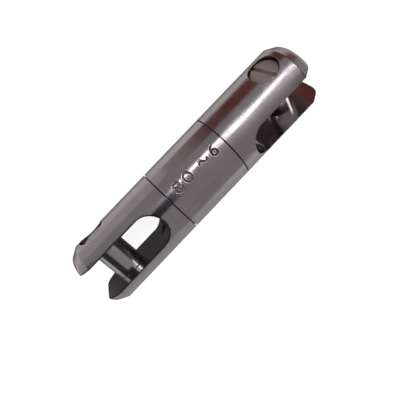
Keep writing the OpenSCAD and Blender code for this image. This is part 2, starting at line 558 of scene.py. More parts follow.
@dataclass
class Jaw:
    """One slotted jaw: a turned bar with a round nose, a full-radius slot and two bolt holes."""

    layout: Layout
    nose_len: float = 3.5 * MM
    taper: float = math.radians(28)
    round_r: float = 2.6 * MM
    crease_r: float = 0.8 * MM
    slot_edge: float = 0.22 * MM
    rim_edge: float = 0.16 * MM
    exit_edge: float = 0.7 * MM
    hole_edge: float = 0.14 * MM
    seam_edge: float = 0.05 * MM
    # How dark the slot's rounded edges are painted: painted shade and a painted dark reflection along the
    # edge, with old oil.
    slot_edge_oil_and_shade: float = 0.0
    pocket_gap: float = 0.15 * MM
    hole_gap: float = 0.08 * MM
    thread_gap: float = 0.03 * MM
    pitch: float = 0.45 * MM
    thread: Thread = field(default_factory=Thread)

    def __post_init__(self) -> None:
        """Works out the arcs of the nose and of the slot."""
        lay = self.layout
        self.slot_centre = lay.slot_bottom + lay.slot_r
        self.pocket_r = lay.head_r + self.pocket_gap
        tip, crease = lay.ear_tip, lay.ear_tip - self.nose_len
        self.round_x = tip - self.round_r
        taper_x = self.round_x + self.round_r * math.sin(self.taper)
        taper_r = lay.body_r - (taper_x - crease) * math.tan(self.taper)
        self.round_axis_r = taper_r - self.round_r * math.cos(self.taper)
        bend = self.crease_r * math.tan(self.taper / 2)
        self.crease_x = crease - bend
        self.crease_run = self.crease_r * self.taper
        self.taper_run = (taper_x - crease) / math.cos(self.taper) - bend
        self.round_run = self.round_r * (QUARTER - self.taper)
        self.wall_u = lay.slot_r * QUARTER

    # The turned outside

    def outline(self, run: np.ndarray) -> tuple[np.ndarray, np.ndarray, np.ndarray]:
        """Follows the turned outline, past the crease and the taper and over the round to the flat end.

        Args:
            run: Distances run along the outline; up to the crease they are distances along the axis.

        Returns:
            The distance along the axis, the radius and the normal's lean from square to the axis.
        """
        body_r, t = self.layout.body_r, self.taper
        on_crease = run - self.crease_x
        on_taper = on_crease - self.crease_run
        on_round = on_taper - self.taper_run
        on_flat = on_round - self.round_run
        bend = np.clip(on_crease / self.crease_r, 0, t)
        over = t + np.clip(on_round / self.round_r, 0, QUARTER - t)
        taper_start_x = self.crease_x + self.crease_r * math.sin(t)
        taper_start_r = body_r - self.crease_r * (1 - math.cos(t))
        zones = [on_crease <= 0, on_taper <= 0, on_round <= 0, on_flat <= 0]
        x = np.select(
            zones,
            [
                run,
                self.crease_x + self.crease_r * np.sin(bend),
                taper_start_x + on_taper * math.cos(t),
                self.round_x + self.round_r * np.sin(over),
            ],
            self.layout.ear_tip,
        )
        r = np.select(
            zones,
            [
                np.full_like(run, body_r),
                body_r - self.crease_r * (1 - np.cos(bend)),
                taper_start_r - on_taper * math.sin(t),
                self.round_axis_r + self.round_r * np.cos(over),
            ],
            self.round_axis_r - on_flat,
        )
        lean = np.select(zones, [np.zeros_like(run), bend, np.full_like(run, t), over], QUARTER)
        return x, r, lean

    def find_run(self, points: np.ndarray) -> np.ndarray:
        """Finds how far along the outline each point lies that is on the outside or just off it.

        Args:
            points: One row for each point.

        Returns:
            The distances run.
        """
        x, r = points[:, 0], np.hypot(points[:, 1], points[:, 2])
        t = self.taper
        over = np.arctan2(x - self.round_x, r - self.round_axis_r)
        bend = np.arctan2(x - self.crease_x, r - self.layout.body_r + self.crease_r)
        taper_start_x = self.crease_x + self.crease_r * math.sin(t)
        taper_start_r = self.layout.body_r - self.crease_r * (1 - math.cos(t))
        down = (x - taper_start_x) * math.cos(t) - (r - taper_start_r) * math.sin(t)
        taper_at = self.crease_x + self.crease_run
        round_at = taper_at + self.taper_run
        zones = [x <= self.crease_x, (bend < t) & (x < self.round_x), r <= self.round_axis_r, over >= t]
        values = [
            x,
            self.crease_x + self.crease_r * bend,
            round_at + self.round_run + self.round_axis_r - r,
            round_at + self.round_r * (over - t),
        ]
        return np.select(zones, values, taper_at + down)

    def wrap_outside(self, flat: np.ndarray) -> tuple[np.ndarray, np.ndarray]:
        """Takes places of the unrolled outside to points and normals.

        Args:
            flat: Places as (run, arc from +Z towards +Y).

        Returns:
            The points and their normals.
        """
        angle = flat[:, 1] / self.layout.body_r
        x, r, lean = self.outline(flat[:, 0])
        around = spokes(angle)
        points = around * r[:, None]
        points[:, 0] = x
        normals = around * np.cos(lean)[:, None]
        normals[:, 0] = np.sin(lean)
        return points, normals

    def on_outside(self, points: np.ndarray) -> Border:
        """Puts points that lie just off the outside on to it, as a border.

        Args:
            points: One row for each point.

        Returns:
            The border.
        """
        angle = np.arctan2(points[:, 1], points[:, 2])
        flat = np.stack([self.find_run(points), angle * self.layout.body_r], axis=1)
        return Border(flat, *self.wrap_outside(flat))

    def outside_normal(self, points: np.ndarray) -> np.ndarray:
        """Gives the outside's normal at each point on it."""
        return self.on_outside(points).normals

    # The slot's wall and its round bottom

    def wrap_wall(self, flat: np.ndarray) -> tuple[np.ndarray, np.ndarray]:
        """Takes places of the unrolled slot wall to points and normals.

        Args:
            flat: Places as (run from the slot's bottom, height z).

        Returns:
            The points and their normals.
        """
        h = self.layout.slot_r
        turn = np.minimum(flat[:, 0] / h, QUARTER)
        beyond = np.maximum(flat[:, 0] - self.wall_u, 0.0)
        x = self.slot_centre - h * np.cos(turn) + beyond
        points = np.stack([x, h * np.sin(turn), flat[:, 1]], axis=1)
        normals = np.stack([np.cos(turn), -np.sin(turn), np.zeros_like(turn)], axis=1)
        return points, normals

    def on_wall(self, points: np.ndarray) -> Border:
        """Puts points that lie just off the slot's wall on to it, as a border.

        Args:
            points: One row for each point.

        Returns:
            The border.
        """
        turn = np.arctan2(points[:, 1], self.slot_centre - points[:, 0])
        bottom = points[:, 0] < self.slot_centre
        run = np.where(bottom, turn * self.layout.slot_r, self.wall_u + points[:, 0] - self.slot_centre)
        flat = np.stack([run, points[:, 2]], axis=1)
        return Border(flat, *self.wrap_wall(flat))

    # The edges between them

    def slot_edge_curve(self, t: np.ndarray) -> np.ndarray:
        """Gives the slot's edge on the outside.

        Args:
            t: Runs 0 to 1 round the ear's tip, to 2 along it and to 3 round the bottom.

        Returns:
            The points.
        """
        lay = self.layout
        z_full = math.sqrt(lay.body_r**2 - lay.slot_r**2)
        z = np.minimum(t, 1.0) * z_full
        runs = np.linspace(self.crease_x, self.crease_x + 12 * MM, 24001)
        xs, radii, _ = self.outline(runs)
        x_tip = np.interp(-np.hypot(z, lay.slot_r), -radii, xs)
        tip = np.stack([x_tip, np.full_like(t, lay.slot_r), z], axis=1)
        x_side = self.crease_x + np.clip(t - 1, 0, 1) * (self.slot_centre - self.crease_x)
        side = np.stack([x_side, np.full_like(t, lay.slot_r), np.full_like(t, z_full)], axis=1)
        turn = (1 - np.clip(t - 2, 0, 1)) * QUARTER
        y = lay.slot_r * np.sin(turn)
        x_bottom = self.slot_centre - lay.slot_r * np.cos(turn)
        bottom = np.stack([x_bottom, y, np.sqrt(lay.body_r**2 - y**2)], axis=1)
        t = t[:, None]
        return np.where(t <= 1, tip, np.where(t <= 2, side, bottom))

    def hole_ring(self, r: float, y: np.ndarray) -> np.ndarray:
        """Gives half a ring about the bolt's axis, from its outer side round to its inner side."""
        angle = np.linspace(0.0, math.pi, len(y))
        return np.stack([self.layout.bolt_x + r * np.cos(angle), y, r * np.sin(angle)], axis=1)

    def bore_normals(self, points: np.ndarray) -> np.ndarray:
        """Gives the normals of a bolt hole's wall, which point at the bolt's axis.

        Args:
            points: Points on the wall.

        Returns:
            One normal for each.
        """
        away = points - np.array([self.layout.bolt_x, 0, 0])
        away[:, 1] = 0
        return -unit(away)

    def quarter(self, hole_r: float, rim_edge: float) -> tuple[Skin, np.ndarray, np.ndarray]:
        """Builds a quarter of the jaw: half of one ear, with y and z positive, but not its bolt hole's wall.

        Args:
            hole_r: The radius of the ear's bolt hole.
            rim_edge: The rounding of the hole's outer rim.

        Returns:
            The quarter's patches, and half of the rings between which the hole's wall goes.
        """
        skin = Skin()
        lay = self.layout
        half_ring = 49
        angle = np.linspace(0.0, math.pi, half_ring)

        edge = self.slot_edge_curve(even_steps(self.slot_edge_curve, 3.0, 0.3 * MM))
        out_n = self.outside_normal(edge)
        wall_n = self.on_wall(edge).normals
        on_out, on_in = soften(edge, out_n, wall_n, self.slot_edge)
        slot_out, slot_in = self.on_outside(on_out), self.on_wall(on_in)
        sides = (slot_out.normals, slot_in.normals)
        # The slot's rounded edge is painted dark: painted shade and a painted dark reflection, with old oil.
        add_rounding(skin, edge, (slot_out.points, slot_in.points), sides, Mark(self.slot_edge_oil_and_shade, 1.0))

        rim = self.hole_ring(hole_r, np.sqrt(lay.body_r**2 - (hole_r * np.sin(angle)) ** 2))
        on_out, on_bore = soften(rim, self.outside_normal(rim), self.bore_normals(rim), rim_edge)
        rim_out = self.on_outside(on_out)
        rim_bore = self.hole_ring(hole_r, on_bore[:, 1])
        add_rounding(skin, rim, (rim_out.points, rim_bore), (rim_out.normals, self.bore_normals(rim_bore)))

        inner = self.hole_ring(hole_r, np.full(half_ring, lay.slot_r))
        inner_wall = self.on_wall(self.hole_ring(hole_r + self.hole_edge, inner[:, 1]))
        inner_bore = self.hole_ring(hole_r, inner[:, 1] + self.hole_edge)
        add_rounding(
            skin, inner, (inner_wall.points, inner_bore), (inner_wall.normals, self.bore_normals(inner_bore))
        )

        seam_x = lay.jaw_face - SEAM_LIP + self.seam_edge
        seam = straight((seam_x, 0), (seam_x, lay.body_r * QUARTER), 0.4 * MM, self.wrap_outside)
        top = lay.body_r * QUARTER
        crease_rows = np.arange(self.pitch, top, self.pitch)
        round_at = self.crease_x + self.crease_run + self.taper_run
        crease_runs = self.crease_x + self.crease_run * np.linspace(0, 1, 4)
        round_runs = round_at + self.round_run * np.linspace(0, 1, 9)
        creases = [(run, arc) for run in (*crease_runs, *round_runs) for arc in crease_rows]
        add_patch(
            skin,
            [
                seam,
                straight((seam_x, top), rim_out.flat[-1], self.pitch, self.wrap_outside),
                rim_out.reversed(),
                straight(rim_out.flat[0], slot_out.flat[0], self.pitch, self.wrap_outside),
                slot_out,
                straight(slot_out.flat[-1], (seam_x, 0), self.pitch, self.wrap_outside),
            ],
            self.pitch,
            self.wrap_outside,
            np.array(creases),
        )
        pocket = self.add_pocket(skin, seam)
        add_patch(
            skin,
            [
                pocket,
                straight(pocket.flat[-1], inner_wall.flat[-1], self.pitch, self.wrap_wall),
                inner_wall.reversed(),
                straight(inner_wall.flat[0], slot_in.flat[0], self.pitch, self.wrap_wall),
                slot_in,
                straight(slot_in.flat[-1], pocket.flat[0], self.pitch, self.wrap_wall),
            ],
            self.pitch,
            self.wrap_wall,
            mark=Mark(0.0, 1.0),
        )
        return skin, inner_bore, rim_bore

    def tapped_wall(self, inner: np.ndarray, outer: np.ndarray) -> tuple[np.ndarray, np.ndarray]:
        """Makes the far ear's tapped hole, whose crests clear the bolt's so that it can be drawn out.

        Args:
            inner: The ring at the slot.
            outer: The ring at the outside.

        Returns:
            Rows of points from ring to ring, and their normals.
        """
        steps = np.linspace(0.0, 1.0, 97)[:, None, None]
        wall = (1 - steps) * inner + steps * outer
        normals = np.stack([self.bore_normals(row) for row in wall])
        angle = np.arctan2(-wall[..., 2], wall[..., 0] - self.layout.bolt_x)
        fade = np.clip(8 * np.minimum(steps, 1 - steps)[..., 0], 0, 1)
        cut = self.thread.depth * self.thread.share(angle, wall[..., 1]) * fade
        points = wall - cut[..., None] * normals
        along = np.gradient(points, axis=0)
        across = np.roll(points, -1, axis=1) - np.roll(points, 1, axis=1)
        tilted = unit(np.cross(along, across))
        facing = np.sign(np.sum(tilted * normals, axis=2, keepdims=True))
        return points, tilted * facing

    def assemble(self) -> Skin:
        """Builds the whole jaw in its own frame.

        Returns:
            The jaw's patches.
        """
        whole = Skin()
        both = (1.0, -1.0)
        near, inner, outer = self.quarter(self.layout.bolt_r + self.hole_gap, self.rim_edge)
        for side in both:
            whole.add_mirrored(near, (1.0, 1.0, side))
            wall = np.stack([inner, outer]) * np.array([1.0, 1.0, side])
            # The near ear's bolt hole wall is painted dark: painted shade in the hole, with old oil.
            whole.add_grid(wall, np.stack([self.bore_normals(row) for row in wall]), mark=Mark(0.85))
        far, inner, outer = self.quarter(self.thread.major_r + self.thread_gap, self.exit_edge)
        for side in both:
            whole.add_mirrored(far, (1.0, -1.0, side))
        mirror = np.array([1.0, 1.0, -1.0])
        rings = [np.concatenate([half, half[-2:0:-1] * mirror]) for half in (inner, outer)]
        flip = np.array([1.0, -1.0, 1.0])
        # The tapped hole's wall is painted darker: painted shade in the hole, with old oil.
        whole.add_grid(*self.tapped_wall(rings[0] * flip, rings[1] * flip), closed=True, mark=Mark(0.5))
        return whole

    def add_pocket(self, skin: Skin, seam: Border) -> Border:
        """Adds a quarter of the screw's pocket, of the bush's bore and of the seam face.

        Args:
            skin: Where the patches go.
            seam: The outside's border at the seam.

        Returns:
            The pocket's border on the slot's round bottom.
        """
        lay = self.layout
        angle = np.linspace(0.0, QUARTER, 25)
        around = spokes(angle)
        y = self.pocket_r * np.sin(angle)
        edge = self.pocket_r * around
        edge[:, 0] = self.slot_centre - np.sqrt(lay.slot_r**2 - y**2)
        wall_n = self.on_wall(edge).normals
        on_wall, on_side = soften(edge, wall_n, -around, 0.08 * MM)
        border = self.on_wall(on_wall)
        side = self.pocket_r * around
        side[:, 0] = on_side[:, 0]
        add_rounding(skin, edge, (border.points, side), (border.normals, -around))
        foot = self.pocket_r * around
        foot[:, 0] = lay.pocket_floor
        steps = np.linspace(0, 1, 5)[:, None, None]
        side_rows = (1 - steps) * side + steps * foot
        # The pocket's side is painted darker: painted shade in the recess, with old oil.
        skin.add_grid(side_rows, np.broadcast_to(-around, side_rows.shape).copy(), mark=Mark(0.5))
        bore_top = lay.bush_r * around
        bore_top[:, 0] = lay.pocket_floor
        bore_foot = lay.bush_r * around
        bore_foot[:, 0] = lay.jaw_face
        forward = np.broadcast_to(AHEAD, around.shape)
        skin.add_grid(np.stack([foot, bore_top]), np.stack([forward, forward]))
        skin.add_grid(np.stack([bore_top, bore_foot]), np.stack([-around, -around]))

        arc = seam.flat[:, 1] / lay.body_r
        ring = spokes(arc)
        corner = lay.body_r * ring
        corner[:, 0] = lay.jaw_face - SEAM_LIP
        rim = (lay.body_r - self.seam_edge) * ring
        rim[:, 0] = corner[:, 0]
        back = np.broadcast_to(np.array([-1.0, 0, 0]), ring.shape)
        add_rounding(skin, corner, (seam.points, rim), (seam.normals, back))
        face = add_lip(skin, rim, ring, back, lay.body_r - SEAM_RIM)
        add_seam_face(skin, face, bore_foot, lay.jaw_face, back[0])
        return border


# ---------------------------------------------------------------- node trees


Value = bpy.types.NodeSocket | float | tuple | str | bool | bpy.types.ID


class Graph:
    """Nodes being put into a shader or geometry tree."""

    def __init__(self, tree: bpy.types.NodeTree) -> None:
        """Takes the tree that the nodes go into."""
        self.tree = tree

    def put(
        self, kind: str, inputs: dict[str | int, Value] | None = None, **settings: object
    ) -> bpy.types.Node:
        """Adds a node.

        Args:
            kind: The node's type.
            inputs: What goes to its sockets, by name or number: a socket to link, or a value.
            **settings: The node's own properties.

        Returns:
            The new node.
        """
        node = self.tree.nodes.new(kind)
        for key, setting in settings.items():
            setattr(node, key, setting)
        for key, value in (inputs or {}).items():
            if isinstance(value, bpy.types.NodeSocket):
                self.tree.links.new(value, node.inputs[key])
            else:
                node.inputs[key].default_value = value
        return node

    def calc(self, operation: str, *values: Value, clamp: bool = False) -> bpy.types.NodeSocket:
        """Adds a sum and returns its result."""
        inputs = dict(enumerate(values))
        return self.put("ShaderNodeMath", inputs, operation=operation, use_clamp=clamp).outputs[0]

    def span(
        self, value: Value, low: float, high: float, to_low: float, to_high: float
    ) -> bpy.types.NodeSocket:
        """Maps one range of values smoothly to another, and returns the result."""
        inputs = {"Value": value, 1: low, 2: high, 3: to_low, 4: to_high}
        return self.put("ShaderNodeMapRange", inputs, interpolation_type="SMOOTHSTEP").outputs[0]

    def blend(self, share: Value, first: Value, second: Value) -> bpy.types.NodeSocket:
        """Mixes two colours, and returns the result."""
        return self.put("ShaderNodeMix", {0: share, 6: first, 7: second}, data_type="RGBA").outputs[2]

    def attribute(self, name: str) -> bpy.types.NodeSocket:
        """Reads a number that the mesh carries."""
        return self.put("ShaderNodeAttribute", attribute_name=name).outputs["Fac"]

    def place(self) -> bpy.types.NodeSocket:
        """Gives the object coordinates."""
        return self.put("ShaderNodeTexCoord").outputs["Object"]

    def place_parts(self) -> bpy.types.bpy_prop_collection:
        """Gives the object coordinates as three numbers."""
        return self.put("ShaderNodeSeparateXYZ", {0: self.place()}).outputs

    def shown_rays(self) -> bpy.types.NodeSocket:
        """Tells camera, glossy and transmission rays from the rest.

        Returns:
            A number that is 1 on those rays and 0 on the others.
        """
        seen = self.put("ShaderNodeLightPath").outputs
        mirrored = self.calc("MAXIMUM", seen["Is Glossy Ray"], seen["Is Transmission Ray"])
        return self.calc("MAXIMUM", seen["Is Camera Ray"], mirrored)

    def glow(self, colour: Value) -> None:
        """Ends a material that shines evenly with a colour."""
        shine = self.put("ShaderNodeEmission", {"Color": colour, "Strength": 1.0}).outputs[0]
        self.put("ShaderNodeOutputMaterial", {"Surface": shine})


class GeometryTool:
    """A Geometry Nodes group that changes one object's mesh."""

    def __init__(self, name: str, sockets: dict[str, str]) -> None:
        """Starts the group.

        Args:
            name: The group's name.
            sockets: The names of its inputs, with each one's type.
        """
        self.group = bpy.data.node_groups.new(name, "GeometryNodeTree")
        face = self.group.interface
        face.new_socket("Geometry", in_out="INPUT", socket_type="NodeSocketGeometry")
        for label, kind in sockets.items():
            face.new_socket(label, in_out="INPUT", socket_type="NodeSocket" + kind)
        face.new_socket("Geometry", in_out="OUTPUT", socket_type="NodeSocketGeometry")
        self.graph = Graph(self.group)
        self.inputs = self.graph.put("NodeGroupInput").outputs

    def finish(self, geometry: bpy.types.NodeSocket) -> None:
        """Ends the group with real meshes and their material.

        Args:
            geometry: What the nodes before it made.
        """
        real = self.graph.put("GeometryNodeRealizeInstances", {"Geometry": geometry}).outputs[0]
        dressed = self.graph.put(
            "GeometryNodeSetMaterial", {"Geometry": real, "Material": self.inputs["Material"]}
        ).outputs[0]
        self.graph.put("NodeGroupOutput", {"Geometry": dressed})

    def use(self, target: bpy.types.Object, values: dict[str, Value]) -> None:
        """Runs the group on an object and keeps the result as its plain mesh.

        Args:
            target: The object to change.
            values: What goes to each named input.
        """
        modifier = target.modifiers.new(self.group.name, "NODES")
        modifier.node_group = self.group
        for item in self.group.interface.items_tree:
            if item.item_type == "SOCKET" and item.in_out == "INPUT" and item.name in values:
                modifier[item.identifier] = values[item.name]
        realise(target)


def realise(target: bpy.types.Object) -> None:
    """Turns an object's evaluated shape into its plain mesh and removes its modifiers.

    Args:
        target: The object to change.
    """
    bpy.context.view_layer.update()
    graph = bpy.context.evaluated_depsgraph_get()
    result = bpy.data.meshes.new_from_object(target.evaluated_get(graph), depsgraph=graph)
    target.modifiers.clear()
    old = target.data
    target.data = result
    result.name = target.name
    bpy.data.meshes.remove(old)


def thread_cutter() -> GeometryTool:
    """Makes the group that winds a screw thread between two open rings of a turned screw.

    Returns:
        The group, with its inputs named.
    """
    tool = GeometryTool(
        "screw_thread",
        {
            "Crest radius": "Float",
            "Thread depth": "Float",
            "Pitch": "Float",
            "Foot": "Float",
            "Top": "Float",
            "Flat share": "Float",
            "Run-out": "Float",
            "Columns": "Int",
            "Material": "Material",
        },
    )
    graph, given = tool.graph, tool.inputs
    calc = graph.calc
    step = calc("DIVIDE", given["Pitch"], 12.0)
    height = calc("ADD", calc("SUBTRACT", given["Top"], given["Foot"]), calc("MULTIPLY", given["Pitch"], 2.0))
    rows = calc("CEIL", calc("DIVIDE", height, step))
    sheet = graph.put(
        "GeometryNodeMeshGrid",
        {
            "Size X": 1.0,
            "Size Y": calc("MULTIPLY", rows, step),
            "Vertices X": calc("ADD", given["Columns"], 1.0),
            "Vertices Y": calc("ADD", rows, 1.0),
        },
    ).outputs[0]
    place = graph.put("ShaderNodeSeparateXYZ", {0: graph.put("GeometryNodeInputPosition").outputs[0]})
    turns = calc("ADD", place.outputs[0], 0.5)
    middle = calc("MULTIPLY", calc("SUBTRACT", calc("ADD", given["Foot"], given["Top"]), given["Pitch"]), 0.5)
    along = calc("ADD", place.outputs[1], middle)
    wound = calc("ADD", along, calc("MULTIPLY", given["Pitch"], turns))
    z = calc("MINIMUM", calc("MAXIMUM", wound, given["Foot"]), given["Top"])
    phase = calc("FRACT", calc("DIVIDE", along, given["Pitch"]))
    rise = calc("SUBTRACT", 1.0, calc("ABSOLUTE", calc("SUBTRACT", calc("MULTIPLY", phase, 2.0), 1.0)))
    flank = calc("SUBTRACT", 1.0, calc("MULTIPLY", given["Flat share"], 2.0))
    share = calc("DIVIDE", calc("SUBTRACT", rise, given["Flat share"]), flank, clamp=True)
    low_fade = calc("DIVIDE", calc("SUBTRACT", z, given["Foot"]), given["Run-out"], clamp=True)
    top_fade = calc("DIVIDE", calc("SUBTRACT", given["Top"], z), given["Run-out"], clamp=True)
    faded = calc("MULTIPLY", share, calc("MULTIPLY", low_fade, top_fade))
    rise = calc("MULTIPLY", given["Thread depth"], faded)
    radius = calc("ADD", calc("SUBTRACT", given["Crest radius"], given["Thread depth"]), rise)
    angle = calc("MULTIPLY", turns, 2 * math.pi)
    target = graph.put(
        "ShaderNodeCombineXYZ",
        {
            0: calc("MULTIPLY", radius, calc("COSINE", angle)),
            1: calc("MULTIPLY", radius, calc("SINE", angle)),
            2: z,
        },
    ).outputs[0]
    wound_sheet = graph.put("GeometryNodeSetPosition", {"Geometry": sheet, "Position": target}).outputs[0]
    both = graph.put("GeometryNodeJoinGeometry", {"Geometry": wound_sheet})
    graph.tree.links.new(given["Geometry"], both.inputs[0])
    merged = graph.put("GeometryNodeMergeByDistance", {"Geometry": both.outputs[0], "Distance": 2e-6})
    tool.finish(merged.outputs[0])
    return tool


def stamp_tool() -> GeometryTool:
    """Makes the group that presses centre-line strokes into a surface, with a raised lip beside each.

    Returns:
        The group, with its inputs named.
    """
    tool = GeometryTool(
        "stamped_strokes",
        {"Strokes": "Object", "Width": "Float", "Depth": "Float", "Lip": "Float", "Material": "Material"},
    )
    graph, given = tool.graph, tool.inputs
    strokes = graph.put("GeometryNodeObjectInfo", {"Object": given["Strokes"]}, transform_space="RELATIVE")
    near = graph.put(
        "GeometryNodeProximity", {"Geometry": strokes.outputs["Geometry"]}, target_element="EDGES"
    ).outputs["Distance"]
    share = graph.calc("DIVIDE", near, given["Width"])
    groove = graph.span(share, 0.12, 0.5, 1.0, 0.0)
    climb, fall = graph.span(share, 0.42, 0.6, 0.0, 1.0), graph.span(share, 0.6, 0.85, 1.0, 0.0)
    lip = graph.calc("MULTIPLY", climb, fall)
    depth = graph.calc(
        "SUBTRACT", graph.calc("MULTIPLY", lip, given["Lip"]), graph.calc("MULTIPLY", groove, given["Depth"])
    )
    normal = graph.put("GeometryNodeInputNormal").outputs[0]
    shift = graph.put("ShaderNodeVectorMath", {0: normal, 3: depth}, operation="SCALE").outputs[0]
    marked = graph.put(
        "GeometryNodeStoreNamedAttribute",
        {"Geometry": given["Geometry"], "Name": "groove", "Value": groove},
        data_type="FLOAT",
        domain="POINT",
    ).outputs[0]
    pressed = graph.put("GeometryNodeSetPosition", {"Geometry": marked, "Offset": shift}).outputs[0]
    tool.finish(pressed)
    return tool


# ---------------------------------------------------------------- finishes


class Coat:
    """A principled material in the making, patterned on object coordinates."""

    relief_depth = 0.02 * MM

    def __init__(self, name: str, constants: dict[str, float]) -> None:
        """Starts the material.

        Args:
            name: The material's name.
            constants: Numbers for the shader's own sockets.
        """
        self.made = bpy.data.materials.new(name)
        self.made.use_nodes = True
        self.graph = Graph(self.made.node_tree)
        self.shader = self.made.node_tree.nodes["Principled BSDF"]
        for socket, value in constants.items():
            self.shader.inputs[socket].default_value = value
        self.place = self.graph.place()

    def noise(
        self, scale: tuple[float, float, float], detail: float, place: bpy.types.NodeSocket | None = None
    ) -> bpy.types.NodeSocket:
        """Adds a noise that is stretched along each axis.

        Args:
            scale: How many waves go into a metre, along each axis.
            detail: The octaves.
            place: Coordinates to use in place of the object coordinates.

        Returns:
            The noise's factor.
        """
        stretch = {"Vector": place or self.place, "Scale": scale}
        mapped = self.graph.put("ShaderNodeMapping", stretch).outputs[0]
        pattern = {"Vector": mapped, "Scale": 1.0, "Detail": detail}
        return self.graph.put("ShaderNodeTexNoise", pattern).outputs[0]

    def finish(
        self, colour: Value, rough: Value, strength: float, height: bpy.types.NodeSocket
    ) -> bpy.types.Material:
        """Ends the material.

        Args:
            colour: The base colour.
            rough: The roughness.
            strength: How strong the relief is.
            height: The relief.

        Returns:
            The material.
        """
        relief = {"Strength": strength, "Distance": self.relief_depth, "Height": height}
        bump = self.graph.put("ShaderNodeBump", relief).outputs[0]
        for socket, value in (("Base Color", colour), ("Roughness", rough), ("Normal", bump)):
            self.made.node_tree.links.new(value, self.shader.inputs[socket])
        return self.made

@dataclass(frozen=True)
class Steel:
    """Stainless steel that was turned, polished and then handled."""

    name: str
    colour: tuple[float, float, float]
    roughness: float = 0.2
    lay: tuple[float, float, float] = (16000.0, 260.0, 260.0)
    lay_strength: float = 0.05
    grain: float = 0.0
    grooves: bool = False
    tan: Colour = (0.26, 0.19, 0.125, 1.0)
    brown: Colour = (0.085, 0.062, 0.045, 1.0)
    milled_pale: Colour = (0.74, 0.71, 0.69, 1.0)
    # Near black, painted on holes, seams, edges and screw feet: old oil and painted shade.
    oil_and_shade_black: Colour = (0.02, 0.019, 0.021, 1.0)

    def tint(self, gain: float) -> Colour:
        """Gives the steel's colour, paler or darker."""
        return tuple(min(1.0, gain * channel) for channel in self.colour) + (1.0,)

    def material(self) -> bpy.types.Material:
        """Builds the finish's material.

        Returns:
            The material.
        """
        coat = Coat(self.name, {"Metallic": 1.0})
        graph, calc, span = coat.graph, coat.graph.calc, coat.graph.span
        lines = coat.noise(self.lay, 3.0)
        cloud = coat.noise((120.0, 120.0, 120.0), 4.0)
        smudge = coat.noise((420.0, 300.0, 380.0), 5.0)
        rub = graph.put("ShaderNodeMapping", {"Vector": coat.place, "Rotation": (0.5, 0.7, 0.9)}).outputs[0]
        scratch = span(coat.noise((300.0, 9000.0, 900.0), 2.0, rub), 0.66, 0.72, 0.0, 1.0)
        # Convex edges are tinted paler by their pointiness: wear, and a painted highlight along the edges.
        wear_and_highlight = span(graph.put("ShaderNodeNewGeometry").outputs["Pointiness"], 0.51, 0.6, 0.0, 1.0)
        body = graph.blend(span(cloud, 0.3, 0.7, 0.0, 1.0), self.tint(0.93), self.tint(1.06))
        colour = graph.blend(wear_and_highlight, body, self.tint(1.2))
        rough = span(smudge, 0.35, 0.75, self.roughness * 0.85, self.roughness * 1.3)
        rough = calc("ADD", rough, calc("MULTIPLY", scratch, 0.06))
        if self.grooves:
            groove = graph.attribute("groove")
            patchy = calc("MULTIPLY", groove, span(smudge, 0.25, 0.6, 0.55, 1.0))
            along = graph.put("ShaderNodeSeparateXYZ", {0: coat.place}).outputs[0]
            older = span(along, -0.001, 0.001, 0.0, 1.0)
            colour = graph.blend(patchy, colour, graph.blend(older, self.tan, self.brown))
            rough = calc("ADD", rough, calc("MULTIPLY", groove, 0.3))
        worn = calc("SUBTRACT", 1.0, graph.attribute("shelter"))
        rough = calc("MULTIPLY", rough, calc("ADD", 0.6, calc("MULTIPLY", worn, 0.4)))
        milled = graph.attribute("milled")
        rough = calc("ADD", rough, calc("MULTIPLY", milled, 0.4))
        colour = graph.blend(milled, colour, self.milled_pale)
        # Painted shade with old oil: holes, seams, slot edges and screw feet darken towards near black.
        colour = graph.blend(graph.attribute("grime"), colour, self.oil_and_shade_black)
        grain = coat.noise((5200.0, 5200.0, 5200.0), 3.0)
        height = calc("SUBTRACT", lines, calc("MULTIPLY", scratch, 0.6))
        rubbed = calc("MULTIPLY", calc("MULTIPLY", grain, self.grain), worn)
        return coat.finish(colour, rough, self.lay_strength, calc("ADD", height, rubbed))


@dataclass(frozen=True)
class Bronze:
    """Bearing bronze, bored and a little tarnished."""

    name: str = "bearing_bronze"
    bright: Colour = (0.72, 0.53, 0.3, 1.0)
    dull: Colour = (0.5, 0.34, 0.17, 1.0)

    def material(self) -> bpy.types.Material:
        """Builds the finish's material.

        Returns:
            The material.
        """
        coat = Coat(self.name, {"Metallic": 1.0})
        cloud = coat.noise((500.0, 500.0, 500.0), 4.0)
        lines = coat.noise((12000.0, 300.0, 300.0), 2.0)
        colour = coat.graph.blend(coat.graph.span(cloud, 0.3, 0.7, 0.0, 1.0), self.bright, self.dull)
        return coat.finish(colour, coat.graph.span(cloud, 0.3, 0.7, 0.28, 0.42), 0.1, lines)


@dataclass(frozen=True)
class Acetal:
    """Black bearing plastic with a dull machined face."""

    name: str = "black_acetal"
    black: Colour = (0.02, 0.02, 0.022, 1.0)
    grey: Colour = (0.045, 0.045, 0.047, 1.0)

    def material(self) -> bpy.types.Material:
        """Builds the finish's material.

        Returns:
            The material.
        """
        coat = Coat(self.name, {"Specular IOR Level": 0.4})
        cloud = coat.noise((900.0, 900.0, 900.0), 4.0)
        colour = coat.graph.blend(coat.graph.span(cloud, 0.4, 0.8, 0.0, 1.0), self.black, self.grey)
        return coat.finish(colour, coat.graph.span(cloud, 0.3, 0.7, 0.45, 0.6), 0.15, cloud)


